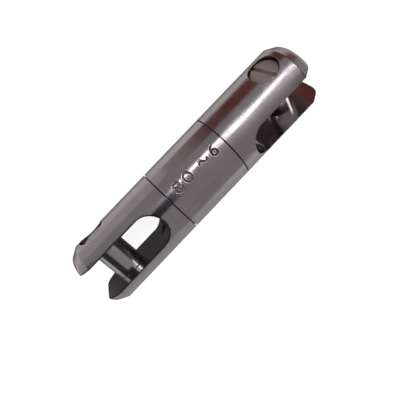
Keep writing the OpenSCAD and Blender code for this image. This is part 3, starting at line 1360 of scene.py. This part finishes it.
@dataclass
class Finishes:
    """The materials of every piece."""

    jaws: dict[End, bpy.types.Material]
    barrel: bpy.types.Material
    screw: bpy.types.Material
    washer: bpy.types.Material
    bronze: bpy.types.Material
    acetal: bpy.types.Material

    @classmethod
    def mix(cls) -> "Finishes":
        """Builds the materials once each.

        Returns:
            The finishes.
        """
        body_steel = (0.575, 0.525, 0.54)
        screw_steel = (0.62, 0.595, 0.58)
        return cls(
            jaws={
                End.A: Steel("polished_steel", body_steel, 0.15).material(),
                End.B: Steel("rubbed_steel", body_steel, 0.23, lay_strength=0.18, grain=0.9).material(),
            },
            barrel=Steel("polished_steel_stamped", body_steel, 0.16, grain=0.3, grooves=True).material(),
            screw=Steel("screw_steel", screw_steel, 0.18, (2500.0, 2500.0, 2500.0), 0.04).material(),
            washer=Steel("washer_steel", screw_steel, 0.3, (9000.0, 600.0, 600.0), 0.08).material(),
            bronze=Bronze().material(),
            acetal=Acetal().material(),
        )


def dress(piece: bpy.types.Object, finish: bpy.types.Material) -> None:
    """Gives a piece or a carried-over node its one finish.

    Args:
        piece: The piece.
        finish: Its material.
    """
    if not piece.material_slots:
        piece.data.materials.append(finish)
    for material_slot in piece.material_slots:
        material_slot.material = finish


def hand_over(piece: bpy.types.Object, body: str, node: str) -> None:
    """Hangs a finished piece on its body in place of its CAD node.

    Args:
        piece: The finished piece.
        body: The body that it moves with.
        node: The CAD node that it stands for.
    """
    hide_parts(node)
    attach(piece, body)
    log.info("%s: %d faces on %s", piece.name, len(piece.data.polygons), body)


# ---------------------------------------------------------------- the pieces


@dataclass
class JawPiece:
    """A jaw at one end of the connector."""

    jaw: Jaw
    end: End

    def build(self, finish: bpy.types.Material) -> bpy.types.Object:
        """Builds the jaw's mesh in place, dresses it and hands it over.

        Args:
            finish: The piece's material.

        Returns:
            The finished piece.
        """
        piece = self.jaw.assemble().build(f"jaw_{self.end.value}_body")
        piece.data.transform(self.jaw.layout.place(self.end))
        dress(piece, finish)
        hand_over(piece, f"jaw_{self.end.value}", f"jaw_{self.end.value}")
        return piece


@dataclass
class Barrel:
    """The middle section: a plain turned barrel, tapped at both faces, with stamped numbers on top."""

    layout: Layout
    bore_r: float = 3.01 * MM
    web: float = 2.1 * MM
    bore_edge: float = 0.3 * MM
    seam_edge: float = 0.05 * MM
    lock_r: float = 1.01 * MM
    lock_edge: float = 0.05 * MM
    fine: float = 0.09 * MM
    pitch: float = 0.5 * MM
    window: float = math.radians(36)
    stroke: float = 0.52 * MM
    depth: float = 0.14 * MM
    lip: float = 0.02 * MM
    row_foot: float = math.radians(10.8)
    row_top: float = math.radians(29.6)

    def wrap(self, radius: float, outward: bool) -> Wrap:
        """Gives the wrap of a cylinder about X: distance along it, and arc from +Z towards +Y.

        Args:
            radius: The cylinder's radius.
            outward: Whether its normals point away from the axis.

        Returns:
            What takes unrolled places to points and normals.
        """
        sign = 1.0 if outward else -1.0

        def onto(flat: np.ndarray) -> tuple[np.ndarray, np.ndarray]:
            """Takes unrolled places to points and normals.

            Args:
                flat: Places as (distance along X, arc).

            Returns:
                The points and their normals.
            """
            angle = flat[:, 1] / radius
            around = spokes(angle)
            points = radius * around
            points[:, 0] = flat[:, 0]
            return points, sign * around

        return onto

    def lock_ring(self, radius: float, surface_r: float) -> np.ndarray:
        """Gives half of the lock pin's hole, where it meets a cylinder about the long axis.

        Args:
            radius: The hole's radius.
            surface_r: The cylinder's radius.

        Returns:
            The points of half the ring.
        """
        angle = np.linspace(0.0, math.pi, 33)
        y = radius * np.sin(angle)
        y[-1] = 0.0
        x = self.layout.lock_x + radius * np.cos(angle)
        return np.stack([x, y, -np.sqrt(surface_r**2 - y**2)], axis=1)

    def on_tube(self, points: np.ndarray, radius: float, outward: bool) -> Border:
        """Puts points on to a cylinder about X, as a border."""
        flat = np.stack([points[:, 0], np.arctan2(points[:, 1], points[:, 2]) * radius], axis=1)
        return Border(flat, *self.wrap(radius, outward)(flat))

    def quarter(self) -> Skin:
        """Builds the barrel's quarter with x and y positive.

        Returns:
            The quarter's patches.
        """
        skin = Skin()
        lay = self.layout
        skin_x = lay.barrel_face + SEAM_LIP - self.seam_edge
        split, foot = lay.body_r * self.window, lay.body_r * math.pi
        outside = self.wrap(lay.body_r, True)
        long_steps = int(round(skin_x / self.fine))
        arc_steps = int(round(split / self.fine))
        xs = np.linspace(0, skin_x, long_steps + 1)
        arcs = np.linspace(0, split, arc_steps + 1)
        flat = np.stack(np.meshgrid(xs, arcs, indexing="ij"), axis=-1)
        points, normals = outside(flat.reshape(-1, 2))
        skin.add_grid(points.reshape(*flat.shape[:2], 3), normals.reshape(*flat.shape[:2], 3))

        rim = self.lock_ring(self.lock_r, lay.body_r)
        axis = np.array([lay.lock_x, 0, 0])
        inward = (rim - axis) * np.array([-1.0, -1.0, 0.0])
        rim_n = self.on_tube(rim, lay.body_r, True).normals
        on_out, on_hole = soften(rim, rim_n, unit(inward), self.lock_edge)
        lock_out = self.on_tube(on_out, lay.body_r, True)
        lock_top = rim.copy()
        lock_top[:, 2] = on_hole[:, 2]
        add_rounding(skin, rim, (lock_out.points, lock_top), (lock_out.normals, inward))
        lock_foot = self.lock_ring(self.lock_r, self.bore_r)
        skin.add_grid(np.stack([lock_top, lock_foot]), np.stack([inward, inward]))

        low_seam = straight((skin_x, foot), (skin_x, split), 0.4 * MM, outside)
        add_patch(
            skin,
            [
                straight((skin_x, split), (0, split), self.fine, outside),
                straight((0, split), (0, foot), self.pitch, outside),
                straight((0, foot), lock_out.flat[-1], self.pitch, outside),
                lock_out.reversed(),
                straight(lock_out.flat[0], (skin_x, foot), self.pitch, outside),
                low_seam,
            ],
            self.pitch,
            outside,
        )
        seam_arc = np.concatenate([arcs, low_seam.flat[::-1, 1][1:]])
        self.add_face(skin, seam_arc / lay.body_r)

        bore = self.wrap(self.bore_r, False)
        bore_x, bore_foot = lay.barrel_face - self.bore_edge, self.bore_r * math.pi
        hole = self.on_tube(lock_foot, self.bore_r, False)
        mouth = straight((bore_x, bore_foot), (bore_x, 0), 0.3 * MM, bore)
        bottom = straight((self.web, 0), (self.web, bore_foot), 0.3 * MM, bore)
        add_patch(
            skin,
            [
                straight((bore_x, 0), (self.web, 0), self.pitch, bore),
                bottom,
                straight((self.web, bore_foot), hole.flat[-1], self.pitch, bore),
                hole.reversed(),
                straight(hole.flat[0], (bore_x, bore_foot), self.pitch, bore),
                mouth,
            ],
            self.pitch,
            bore,
        )
        centre = np.zeros_like(bottom.points)
        centre[:, 0] = self.web
        forward = np.broadcast_to(AHEAD, centre.shape)
        skin.add_grid(np.stack([bottom.points, centre]), np.stack([forward, forward]))
        return skin

    def add_face(self, skin: Skin, angles: np.ndarray) -> None:
        """Adds half of the end face, with the seam's rounded edge and the tapped hole's mouth.

        Args:
            skin: Where the patches go.
            angles: Where the outside's points lie round the seam.
        """
        lay = self.layout
        ring = spokes(angles)
        ahead = np.broadcast_to(AHEAD, ring.shape)
        corner = lay.body_r * ring + (lay.barrel_face + SEAM_LIP) * ahead
        skin_end = corner - self.seam_edge * ahead
        rim = corner - self.seam_edge * ring
        add_rounding(skin, corner, (skin_end, rim), (ring, ahead))
        face = add_lip(skin, rim, ring, ahead, lay.body_r - SEAM_RIM)
        steps = int(round(math.pi * self.bore_r / (0.3 * MM)))
        turn = np.linspace(0, math.pi, steps + 1)
        hole = spokes(turn)
        ahead_in = np.broadcast_to(AHEAD, hole.shape)
        mouth = (self.bore_r + self.bore_edge) * hole + lay.barrel_face * ahead_in
        throat = self.bore_r * hole + (lay.barrel_face - self.bore_edge) * ahead_in
        bevel = unit(ahead_in - hole)
        skin.add_grid(np.stack([mouth, throat]), np.stack([bevel, bevel]))
        add_seam_face(skin, face, mouth, lay.barrel_face, AHEAD)

    def strokes(self) -> bpy.types.Object:
        """Draws the stamped row's centre lines on the barrel, as an object of edges.

        Returns:
            The object.
        """

        def oval(x: float, y: float, rx: float, ry: float, start: float = 0, stop: float = 360) -> np.ndarray:
            """Gives points along part of an oval, its angles in degrees."""
            turn = np.radians(np.linspace(start, stop, 33))
            return np.stack([x + rx * np.cos(turn), y + ry * np.sin(turn)], axis=1)

        eight = [oval(0.5, 0.75, 0.36, 0.23), oval(0.5, 0.26, 0.44, 0.26)]
        nought = [oval(0.5, 0.5, 0.44, 0.5)]
        six = [oval(0.5, 0.3, 0.44, 0.3), oval(0.98, 0.3, 0.92, 0.7, 180, 100)]
        wave = np.linspace(0, 1, 25)
        tilde = [np.stack([wave, 0.5 + 0.19 * np.sin(2 * math.pi * wave)], axis=1)]
        row = [
            (eight, -7.2, -4.9),
            (nought, -3.9, -1.5),
            (tilde, 1.4, 3.95),
            (six, 5.25, 7.0),
        ]
        inset = self.stroke / 2
        foot, top = self.layout.body_r * self.row_foot + inset, self.layout.body_r * self.row_top - inset
        points, edges = [], []
        for glyph, left, right in row:
            for line in glyph:
                x = left * MM + line[:, 0] * (right - left) * MM
                arc = foot + line[:, 1] * (top - foot)
                placed, _ = self.wrap(self.layout.body_r, True)(np.stack([x, arc], axis=1))
                edges.extend((len(points) + i, len(points) + i + 1) for i in range(len(line) - 1))
                points.extend(placed.tolist())
        mesh = bpy.data.meshes.new("stamp_strokes")
        mesh.from_pydata(points, edges, [])
        return mesh_object("stamp_strokes", mesh)

    def build(self, finish: bpy.types.Material, stamp: GeometryTool) -> bpy.types.Object:
        """Builds the barrel, stamps its numbers, dresses it and hands it over.

        Args:
            finish: The barrel's material.
            stamp: The group that presses strokes.

        Returns:
            The finished piece.
        """
        quarter = self.quarter()
        whole = Skin()
        for x in (1.0, -1.0):
            for y in (1.0, -1.0):
                whole.add_mirrored(quarter, (x, y, 1.0))
        piece = whole.build("barrel_body")
        drawn = self.strokes()
        settings = {"Strokes": drawn, "Width": self.stroke, "Depth": self.depth, "Lip": self.lip}
        stamp.use(piece, settings | {"Material": finish})
        bpy.data.objects.remove(drawn)
        dress(piece, finish)
        hand_over(piece, "barrel", "swivel_barrel")
        return piece


@dataclass
class Screw:
    """A turned screw about Z with its head up: a plain top, a threaded end and a driver's recess."""

    name: str
    top: list[tuple[float, float]]
    tail: list[tuple[float, float]]
    recess: Recess
    recess_size: float
    recess_depth: float
    recess_turn: float = 0.0
    dot: tuple[float, float] | None = None
    columns: int = 96
    edge: float = 0.06 * MM
    thread: Thread = field(default_factory=Thread)

    def turned(self) -> bpy.types.Object:
        """Turns the screw's plain parts, with a gap between them for the thread.

        Returns:
            The object, still open at the thread.
        """
        skin = Skin()
        angles = np.linspace(0, 2 * math.pi, self.columns, endpoint=False)
        lathe(skin, self.tail, angles)
        lathe(skin, self.top, angles)
        piece = skin.build(self.name)
        piece.data.attributes.remove(piece.data.attributes["custom_normal"])
        return piece

    def cutter(self) -> bpy.types.Object:
        """Makes the closed block that cuts the driver's recess.

        Returns:
            The block.
        """
        height = self.top[-1][1]
        floor = height - self.recess_depth
        skin = Skin()
        if self.recess is Recess.HEX:
            angles = np.radians(np.arange(0, 360, 60)) + self.recess_turn
            r = self.recess_size / math.sqrt(3)
            cone = r * 0.45
            top = height + MM
            lathe(skin, [(0, floor - cone), (r * 0.86, floor), (r, floor), (r, top), (0, top)], angles)
            return skin.build(self.name + "_cutter")
        half, reach = self.recess_size / 2, 2 * self.top[-2][0]
        along = np.array([math.sin(self.recess_turn), math.cos(self.recess_turn), 0.0])
        across = np.array([along[1], -along[0], 0.0])
        corners = [
            half * a * across + reach * b * along + np.array([0, 0, z])
            for z in (floor, height + MM)
            for a, b in ((-1, -1), (1, -1), (1, 1), (-1, 1))
        ]
        mesh = bpy.data.meshes.new(self.name + "_cutter")
        sides = [(i, (i + 1) % 4, (i + 1) % 4 + 4, i + 4) for i in range(4)]
        mesh.from_pydata(corners, [], [(3, 2, 1, 0), (4, 5, 6, 7), *sides])
        return mesh_object(self.name + "_cutter", mesh)

    def punch(self) -> bpy.types.Object:
        """Makes the small cone that marks the dot in the slot's floor.

        Returns:
            The cone.
        """
        floor = self.top[-1][1] - self.recess_depth
        skin = Skin()
        outline = [(0, floor - 0.3 * MM), (0.32 * MM, floor + 0.1 * MM), (0, floor + 0.1 * MM)]
        lathe(skin, outline, np.linspace(0, 2 * math.pi, 24, endpoint=False))
        made = skin.build(self.name + "_punch")
        made.data.transform(Matrix.Translation((self.dot[0], self.dot[1], 0)))
        return made

    def build(self, thread_tool: GeometryTool, finish: bpy.types.Material, place: Matrix) -> bpy.types.Object:
        """Builds the screw and sets it in place.

        Args:
            thread_tool: The group that winds the thread.
            finish: The screw's material.
            place: Where the screw goes.

        Returns:
            The finished object, not yet riding on a body.
        """
        piece = self.turned()
        thread_tool.use(
            piece,
            {
                "Crest radius": self.thread.major_r,
                "Thread depth": self.thread.depth,
                "Pitch": self.thread.pitch,
                "Foot": self.tail[-1][1],
                "Top": self.top[0][1],
                "Flat share": self.thread.flat,
                "Run-out": self.thread.run_out,
                "Columns": self.columns,
                "Material": finish,
            },
        )
        cutters = [self.cutter()]
        if self.dot:
            cutters.append(self.punch())
        for cutter in cutters:
            cut = piece.modifiers.new("recess", "BOOLEAN")
            cut.operation = "DIFFERENCE"
            cut.solver = "EXACT"
            cut.object = cutter
        realise(piece)
        for cutter in cutters:
            bpy.data.objects.remove(cutter)
        self.soften_top(piece)
        self.mark_faces(piece)
        piece.data.transform(place)
        dress(piece, finish)
        return piece

    def mark_faces(self, piece: bpy.types.Object) -> None:
        """Marks the milled top and its recess, and paints the screw's foot end near black, for old oil and
        the shade inside its hole.

        Args:
            piece: The screw.
        """
        mesh = piece.data
        floor = self.top[-1][1] - self.recess_depth - 0.02 * MM
        oil_and_shade_line = self.top[2][1] - self.edge * 0.5
        faces = mesh.polygons
        milled = [face.center.z > floor and (face.normal.z > 0.7 or not self.on_side(face)) for face in faces]
        # The foot end below the head or shank is painted dark: painted shade inside the hole, with old oil.
        oil_and_shade_faces = [0.8 * (face.center.z < oil_and_shade_line) for face in faces]
        for label, values in (("milled", milled), ("grime", oil_and_shade_faces)):
            mesh.attributes.new(label, "FLOAT", "FACE").data.foreach_set("value", values)

    def on_side(self, face: bpy.types.MeshPolygon) -> bool:
        """Tells whether a face lies on the screw's turned side."""
        return math.hypot(face.center.x, face.center.y) > self.top[-3][0] - 0.03 * MM

    def soften_top(self, piece: bpy.types.Object) -> None:
        """Rounds the outer edges above the recess's floor, and leaves the rest as cut.

        Args:
            piece: The screw.
        """
        mesh = piece.data
        floor = self.top[-1][1] - self.recess_depth + 0.02 * MM
        ridge: dict[tuple[int, int], list[tuple[Vector, Vector]]] = {}
        for face in mesh.polygons:
            for key in face.edge_keys:
                ridge.setdefault(key, []).append((face.normal.copy(), face.center.copy()))
        weights = mesh.attributes.new("bevel_weight_edge", "FLOAT", "EDGE")
        for edge in mesh.edges:
            sides = ridge.get(tuple(sorted(edge.vertices)), [])
            low = min(mesh.vertices[i].co.z for i in edge.vertices)
            if len(sides) != 2 or low < floor:
                continue
            (first, first_at), (second, second_at) = sides
            convex = (second_at - first_at).dot(first) < 0
            if convex and first.angle(second, 0.0) > math.radians(25):
                weights.data[edge.index].value = 1.0
        bevel = piece.modifiers.new("edges", "BEVEL")
        bevel.limit_method = "WEIGHT"
        bevel.width = self.edge
        bevel.segments = 2
        realise(piece)
        piece.data.polygons.foreach_set("use_smooth", [True] * len(piece.data.polygons))
        piece.data.set_sharp_from_angle(angle=math.radians(38))


@dataclass
class Screws:
    """The jaw bolts and the swivel screws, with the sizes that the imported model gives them."""

    layout: Layout
    finish: bpy.types.Material
    tool: GeometryTool
    chamfer: float = 0.35 * MM
    foot_chamfer: float = 0.16 * MM
    core_r: float = 2.45 * MM
    tail_chamfer: float = 0.15 * MM
    driver_slot: float = 1.1 * MM
    dot_at: tuple[float, float] = (0.25 * MM, -0.85 * MM)
    shoulder_r: float = 3.3 * MM
    thread_len: float = 6.4 * MM
    head_edge: float = 0.2 * MM
    socket: float = 4.0 * MM
    socket_depth: float = 1.2 * MM
    driver_turns: dict[End, float] = field(default_factory=lambda: {End.A: 62.0, End.B: -12.0})

    def tail(self, foot: float) -> list[tuple[float, float]]:
        """Gives the outline of a threaded end's foot, from the axis up to the thread."""
        core, c = self.core_r, self.tail_chamfer
        return [(0, foot), (core - c, foot), (core, foot + c)]

    def bolt(self, end: End) -> bpy.types.Object:
        """Builds one jaw bolt: a slotted shank with a threaded end.

        Args:
            end: The end that it closes.

        Returns:
            The finished bolt.
        """
        lay, c = self.layout, self.chamfer
        r, top, foot = lay.bolt_r, lay.bolt_face, -lay.bolt_end
        turn = math.radians(self.driver_turns[end])
        screw = Screw(
            name=f"jaw_bolt_{end.value}_screw",
            top=[
                (self.core_r, -lay.slot_r),
                (r - self.foot_chamfer, -lay.slot_r),
                (r, self.foot_chamfer - lay.slot_r),
                (r, top - c),
                (r - c, top),
                (0, top),
            ],
            tail=self.tail(foot),
            recess=Recess.SLOT,
            recess_size=self.driver_slot,
            recess_depth=self.driver_slot,
            recess_turn=turn,
            dot=self.dot_at if end is End.B else None,
        )
        upright = Matrix.Translation((lay.bolt_x, 0, 0)) @ Matrix.Rotation(-QUARTER, 4, "X")
        piece = screw.build(self.tool, self.finish, lay.place(end) @ upright)
        hand_over(piece, f"bolt_{end.value}", f"jaw_bolt_{end.value}")
        return piece

    def swivel(self, end: End) -> bpy.types.Object:
        """Builds one swivel screw: a socket head over a plain shoulder and a thread in the barrel.

        Args:
            end: The end that it holds.

        Returns:
            The finished screw.
        """
        lay = self.layout
        shoulder, head, top, edge = self.shoulder_r, lay.head_r, lay.slot_bottom, self.head_edge
        screw = Screw(
            name=f"swivel_screw_{end.value}_screw",
            top=[
                (self.core_r, lay.barrel_face),
                (shoulder, lay.barrel_face),
                (shoulder, lay.head_seat),
                (head - edge, lay.head_seat),
                (head, lay.head_seat + edge),
                (head, top - edge),
                (head - edge, top),
                (0, top),
            ],
            tail=self.tail(lay.barrel_face - self.thread_len),
            recess=Recess.HEX,
            recess_size=self.socket,
            recess_depth=self.socket_depth,
        )
        lying = Matrix.Rotation(QUARTER, 4, "Y")
        piece = screw.build(self.tool, self.finish, lay.place(end) @ lying)
        hand_over(piece, "barrel", f"swivel_screw_{end.value}")
        return piece


# ---------------------------------------------------------------- the studio


def blank_paint(name: str) -> tuple[bpy.types.Material, Graph]:
    """Starts a material that has no nodes yet.

    Args:
        name: The material's name.

    Returns:
        The material, and the graph that its nodes go into.
    """
    paint = bpy.data.materials.new(name)
    paint.use_nodes = True
    paint.node_tree.nodes.clear()
    return paint, Graph(paint.node_tree)


def flat_sheet(
    name: str, half_x: float, half_y: float, z: float, paint: bpy.types.Material
) -> bpy.types.Object:
    """Makes a flat rectangle that faces up.

    Args:
        name: The object's name.
        half_x: Half its size along X.
        half_y: Half its size along Y.
        z: Its height.
        paint: Its material.

    Returns:
        The new object.
    """
    mesh = bpy.data.meshes.new(name)
    corners = [(-half_x, -half_y, z), (half_x, -half_y, z), (half_x, half_y, z), (-half_x, half_y, z)]
    mesh.from_pydata(corners, [], [(0, 1, 2, 3)])
    mesh.materials.append(paint)
    return mesh_object(name, mesh)


def stage_mirrored(item: bpy.types.Object) -> None:
    """Hides an object from the camera, from diffuse light and from shadows, so that only reflections see it.

    Args:
        item: The object.
    """
    item.visible_camera = False
    item.visible_diffuse = False
    item.visible_shadow = False


@dataclass(frozen=True)
class Card:
    """A reflector that only mirrors see; its places and sizes are in millimetres.

    It faces back along its direction, and its brightness may fade from the middle to the long edges.
    """

    name: str
    centre: tuple[float, float, float]
    size: tuple[float, float]
    faces: tuple[float, float, float]
    colour: tuple[float, float, float]
    spin: float = 0.0
    soft: bool = False
    fade_in: tuple[float, float] | None = None
    room: tuple[float, float, float] = (0.25, 0.24, 0.245)

    def hang(self) -> None:
        """Hangs the card and hides it from all but reflections."""
        made = flat_sheet(self.name, self.size[0] / 2 * MM, self.size[1] / 2 * MM, 0, self.paint())
        toward = Vector(self.faces).normalized()
        across = Vector((0, -1, 0)) if abs(toward.x) > 0.5 else Vector((1, 0, 0))
        turn = Matrix((across, toward.cross(across), toward)).transposed().to_4x4()
        spin = Matrix.Rotation(math.radians(self.spin), 4, "Z")
        made.matrix_world = Matrix.Translation(Vector(self.centre) * MM) @ turn @ spin
        stage_mirrored(made)

    def paint(self) -> bpy.types.Material:
        """Makes the card's own glow, which blends into the room's grey where it fades.

        Returns:
            The material.
        """
        paint, graph = blank_paint(self.name)
        share: Value = 1.0
        place = graph.place_parts()
        if self.soft:
            off = graph.calc("ABSOLUTE", place[1])
            share = graph.span(off, 0.0, self.size[1] / 2 * MM, 1.0, 0.0)
        if self.fade_in:
            start, end = (value * MM for value in self.fade_in)
            share = graph.calc("MULTIPLY", share, graph.span(place[0], start, end, 0.0, 1.0))
        graph.glow(graph.blend(share, self.room + (1.0,), self.colour + (1.0,)))
        return paint


@dataclass
class Studio:
    """The floor, the light and the camera."""

    layout: Layout
    sky: float = 0.25
    white: Colour = (1.0, 1.0, 1.0, 1.0)
    floor_half: float = 3.0
    floor_drop: float = 0.0001
    floor_matt: Colour = (0.9, 0.9, 0.9, 1.0)
    floor_shine: float = 0.86
    sheet_half: float = 0.3
    sheet_drop: float = 0.00005
    sheet_shaded: Colour = (0.05, 0.046, 0.047, 1.0)
    sheet_lit: Colour = (0.38, 0.37, 0.37, 1.0)
    # The painted light just beside the connector on the +Y side of the sheet.
    sheet_near_lit: Colour = (0.52, 0.5, 0.505, 1.0)
    dome_r: float = 4.0
    dome_drop: float = 0.1
    camera_at: tuple[float, float, float] = (-7.074, 27.618, 106.027)
    camera_forward: tuple[float, float, float] = (0.02388, -0.32591, -0.94510)
    camera_up: tuple[float, float, float] = (0.72440, 0.65716, -0.20831)

    def set_up(self) -> None:
        """Sets up everything that isn't part of the connector."""
        scene = bpy.context.scene
        scene.view_settings.view_transform = "Standard"
        self.lay_floor()
        self.lay_sheet()
        self.raise_dome()
        self.light_world()
        self.place_camera()
        for card in self.cards():
            card.hang()

    def cards(self) -> list[Card]:
        """Lists the reflectors that shape the steel's shine.

        Returns:
            The cards.
        """

        def away(angle: float, distance: float, x: float) -> tuple[float, float, float]:
            """Gives a place at an angle from straight up towards +Y."""
            turn = math.radians(angle)
            return (x, distance * math.sin(turn), distance * math.cos(turn))

        def facing(angle: float) -> tuple[float, float, float]:
            """Gives the direction back from such a place."""
            turn = math.radians(angle)
            return (0.0, -math.sin(turn), -math.cos(turn))

        down = (0.0, 0.0, -1.0)
        dark = (0.022, 0.024, 0.038)
        grey = (0.36, 0.345, 0.35)
        brown = (0.115, 0.037, 0.028)
        halo, dusk, pale = (0.5, 0.49, 0.52), (0.13, 0.11, 0.11), (0.5, 0.48, 0.48)
        return [
            Card("lamp_near", (22, 139, 205), (84, 50), down, (6.4, 6.3, 6.5), soft=True, fade_in=(-35, -4)),
            Card("lamp_far", (88, 111, 204), (92, 46), down, (5.6, 5.5, 5.7), spin=-31, soft=True),
            Card("lamp_halo", (105, 60, 207), (170, 220), down, halo, soft=True, fade_in=(-85, -45)),
            Card("lamp_end", (184, 100, 203), (64, 44), down, (5.0, 5.0, 5.2)),
            Card("camera_block", away(15, 112, -68), (120, 50), facing(15), dark),
            Card("brown_card", (105, 36, 4.5), (220, 28), (0, -1, 0), brown, fade_in=(-110, -85)),
            Card("dark_end_a", (-215, -10, 60), (310, 220), down, (0.03, 0.03, 0.035)),
            Card("dark_end_b", (90, -45, 80), (90, 90), (-1, 0, 0), (0.03, 0.03, 0.035)),
            Card("dark_side", away(-36, 118, -84), (90, 60), facing(-36), dusk, fade_in=(45, 15)),
            Card("dark_line", away(-46, 200, 0), (500, 7), facing(-46), (0.1, 0.1, 0.11), soft=True),
            Card("grey_front", (0, -70, 4), (500, 27), (0, 1, 0), pale, fade_in=(-30, 25), room=grey),
            Card("grey_back", (0, 75, 4), (500, 27), (0, -1, 0), grey),
        ]

    def lay_sheet(self) -> None:
        """Lays the grey sheet that the steel mirrors around itself, with a painted shadow where the connector
        shades it and a painted paler band of light beside it on the +Y side.
        """
        paint, graph = blank_paint("grey_sheet")
        place = graph.place_parts()
        across = graph.span(place[1], -0.03, -0.006, 1.0, 0.0)
        back = graph.span(place[1], 0.006, 0.019, 0.0, 1.0)
        along = graph.span(graph.calc("ABSOLUTE", place[0]), 0.036, 0.06, 0.0, 1.0)
        share = graph.calc("MAXIMUM", graph.calc("MAXIMUM", across, back), along)
        # A paler band of painted light beside the connector on the +Y side.
        near = graph.calc("MULTIPLY", back, graph.span(place[1], 0.024, 0.045, 1.0, 0.0))
        colour = graph.blend(near, self.sheet_lit, self.sheet_near_lit)
        graph.glow(graph.blend(share, self.sheet_shaded, colour))
        height = self.layout.floor_z - self.sheet_drop
        stage_mirrored(flat_sheet("grey_sheet", self.sheet_half, self.sheet_half, height, paint))

    def lay_floor(self) -> None:
        """Lays the white floor, which keeps the connector's shadow."""
        paint, graph = blank_paint("white_floor")
        strength = graph.calc("MULTIPLY", graph.shown_rays(), self.floor_shine)
        matt = graph.put("ShaderNodeBsdfDiffuse", {"Color": self.floor_matt}).outputs[0]
        glow = graph.put("ShaderNodeEmission", {"Color": self.white, "Strength": strength}).outputs[0]
        both = graph.put("ShaderNodeAddShader", {0: matt, 1: glow}).outputs[0]
        graph.put("ShaderNodeOutputMaterial", {"Surface": both})
        height = self.layout.floor_z - self.floor_drop
        flat_sheet("floor", self.floor_half, self.floor_half, height, paint)

    def raise_dome(self) -> None:
        """Raises the soft grey room that the steel mirrors in place of the white world."""
        skin = Skin()
        rise = np.linspace(0.0, QUARTER, 13)
        outline = [(self.dome_r * math.cos(a), self.dome_r * math.sin(a) - self.dome_drop) for a in rise]
        lathe(skin, outline, np.linspace(0, 2 * math.pi, 48, endpoint=False))
        dome = skin.build("grey_room")
        paint, graph = blank_paint("grey_room")
        graph.glow(self.sky_colour())
        dress(dome, paint)
        dome.visible_transmission = False
        stage_mirrored(dome)

    def sky_colour(self) -> Colour:
        """Gives the room's soft grey."""
        return (self.sky, self.sky * 0.97, self.sky * 0.975, 1.0)

    def light_world(self) -> None:
        """Lights the room with an even soft grey, and shows plain white behind the floor."""
        world = bpy.data.worlds.new("soft_room")
        bpy.context.scene.world = world
        world.use_nodes = True
        world.node_tree.nodes.clear()
        graph = Graph(world.node_tree)
        colour = graph.blend(graph.shown_rays(), self.sky_colour(), self.white)
        glow = graph.put("ShaderNodeBackground", {"Color": colour, "Strength": 1.0}).outputs[0]
        graph.put("ShaderNodeOutputWorld", {"Surface": glow})

    def place_camera(self) -> None:
        """Places the camera above the connector, rolled so that the long axis rises to the right."""
        camera = bpy.data.objects.new("camera", bpy.data.cameras.new("camera"))
        bpy.context.scene.collection.objects.link(camera)
        forward = Vector(self.camera_forward).normalized()
        right = forward.cross(Vector(self.camera_up)).normalized()
        up = right.cross(forward)
        turn = Matrix((right, up, -forward)).transposed().to_4x4()
        camera.matrix_world = Matrix.Translation(Vector(self.camera_at) * MM) @ turn
        camera.data.sensor_width = 36.0
        camera.data.lens = 36.0
        camera.data.clip_start = 0.005
        camera.data.clip_end = 20.0
        bpy.context.scene.camera = camera


def main() -> None:
    """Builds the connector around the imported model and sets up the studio."""
    logging.basicConfig(level=logging.INFO, format="%(name)s %(message)s")
    layout = Layout.read(frame["record"])
    Studio(layout).set_up()
    finishes = Finishes.mix()
    # Jaw A's slot edges are painted much darker than jaw B's: painted shade with old oil.
    for end, slot_edge_oil_and_shade in ((End.A, 0.9), (End.B, 0.2)):
        jaw = Jaw(layout, slot_edge_oil_and_shade=slot_edge_oil_and_shade)
        JawPiece(jaw, end).build(finishes.jaws[end])
    Barrel(layout).build(finishes.barrel, stamp_tool())
    screws = Screws(layout, finishes.screw, thread_cutter())
    for end in End:
        screws.bolt(end)
        screws.swivel(end)
    nodes = frame["nodes"]
    for end in End:
        dress(nodes[f"bearing_bush_{end.value}"], finishes.bronze)
        dress(nodes[f"thrust_washer_{end.value}"], finishes.acetal)
        dress(nodes[f"head_washer_{end.value}"], finishes.washer)
        dress(nodes[f"lock_pin_{end.value}"], finishes.screw)
        log.info("end %s: bush, washers and lock pin keep their shape", end.value)


if __name__ == "__main__":
    main()
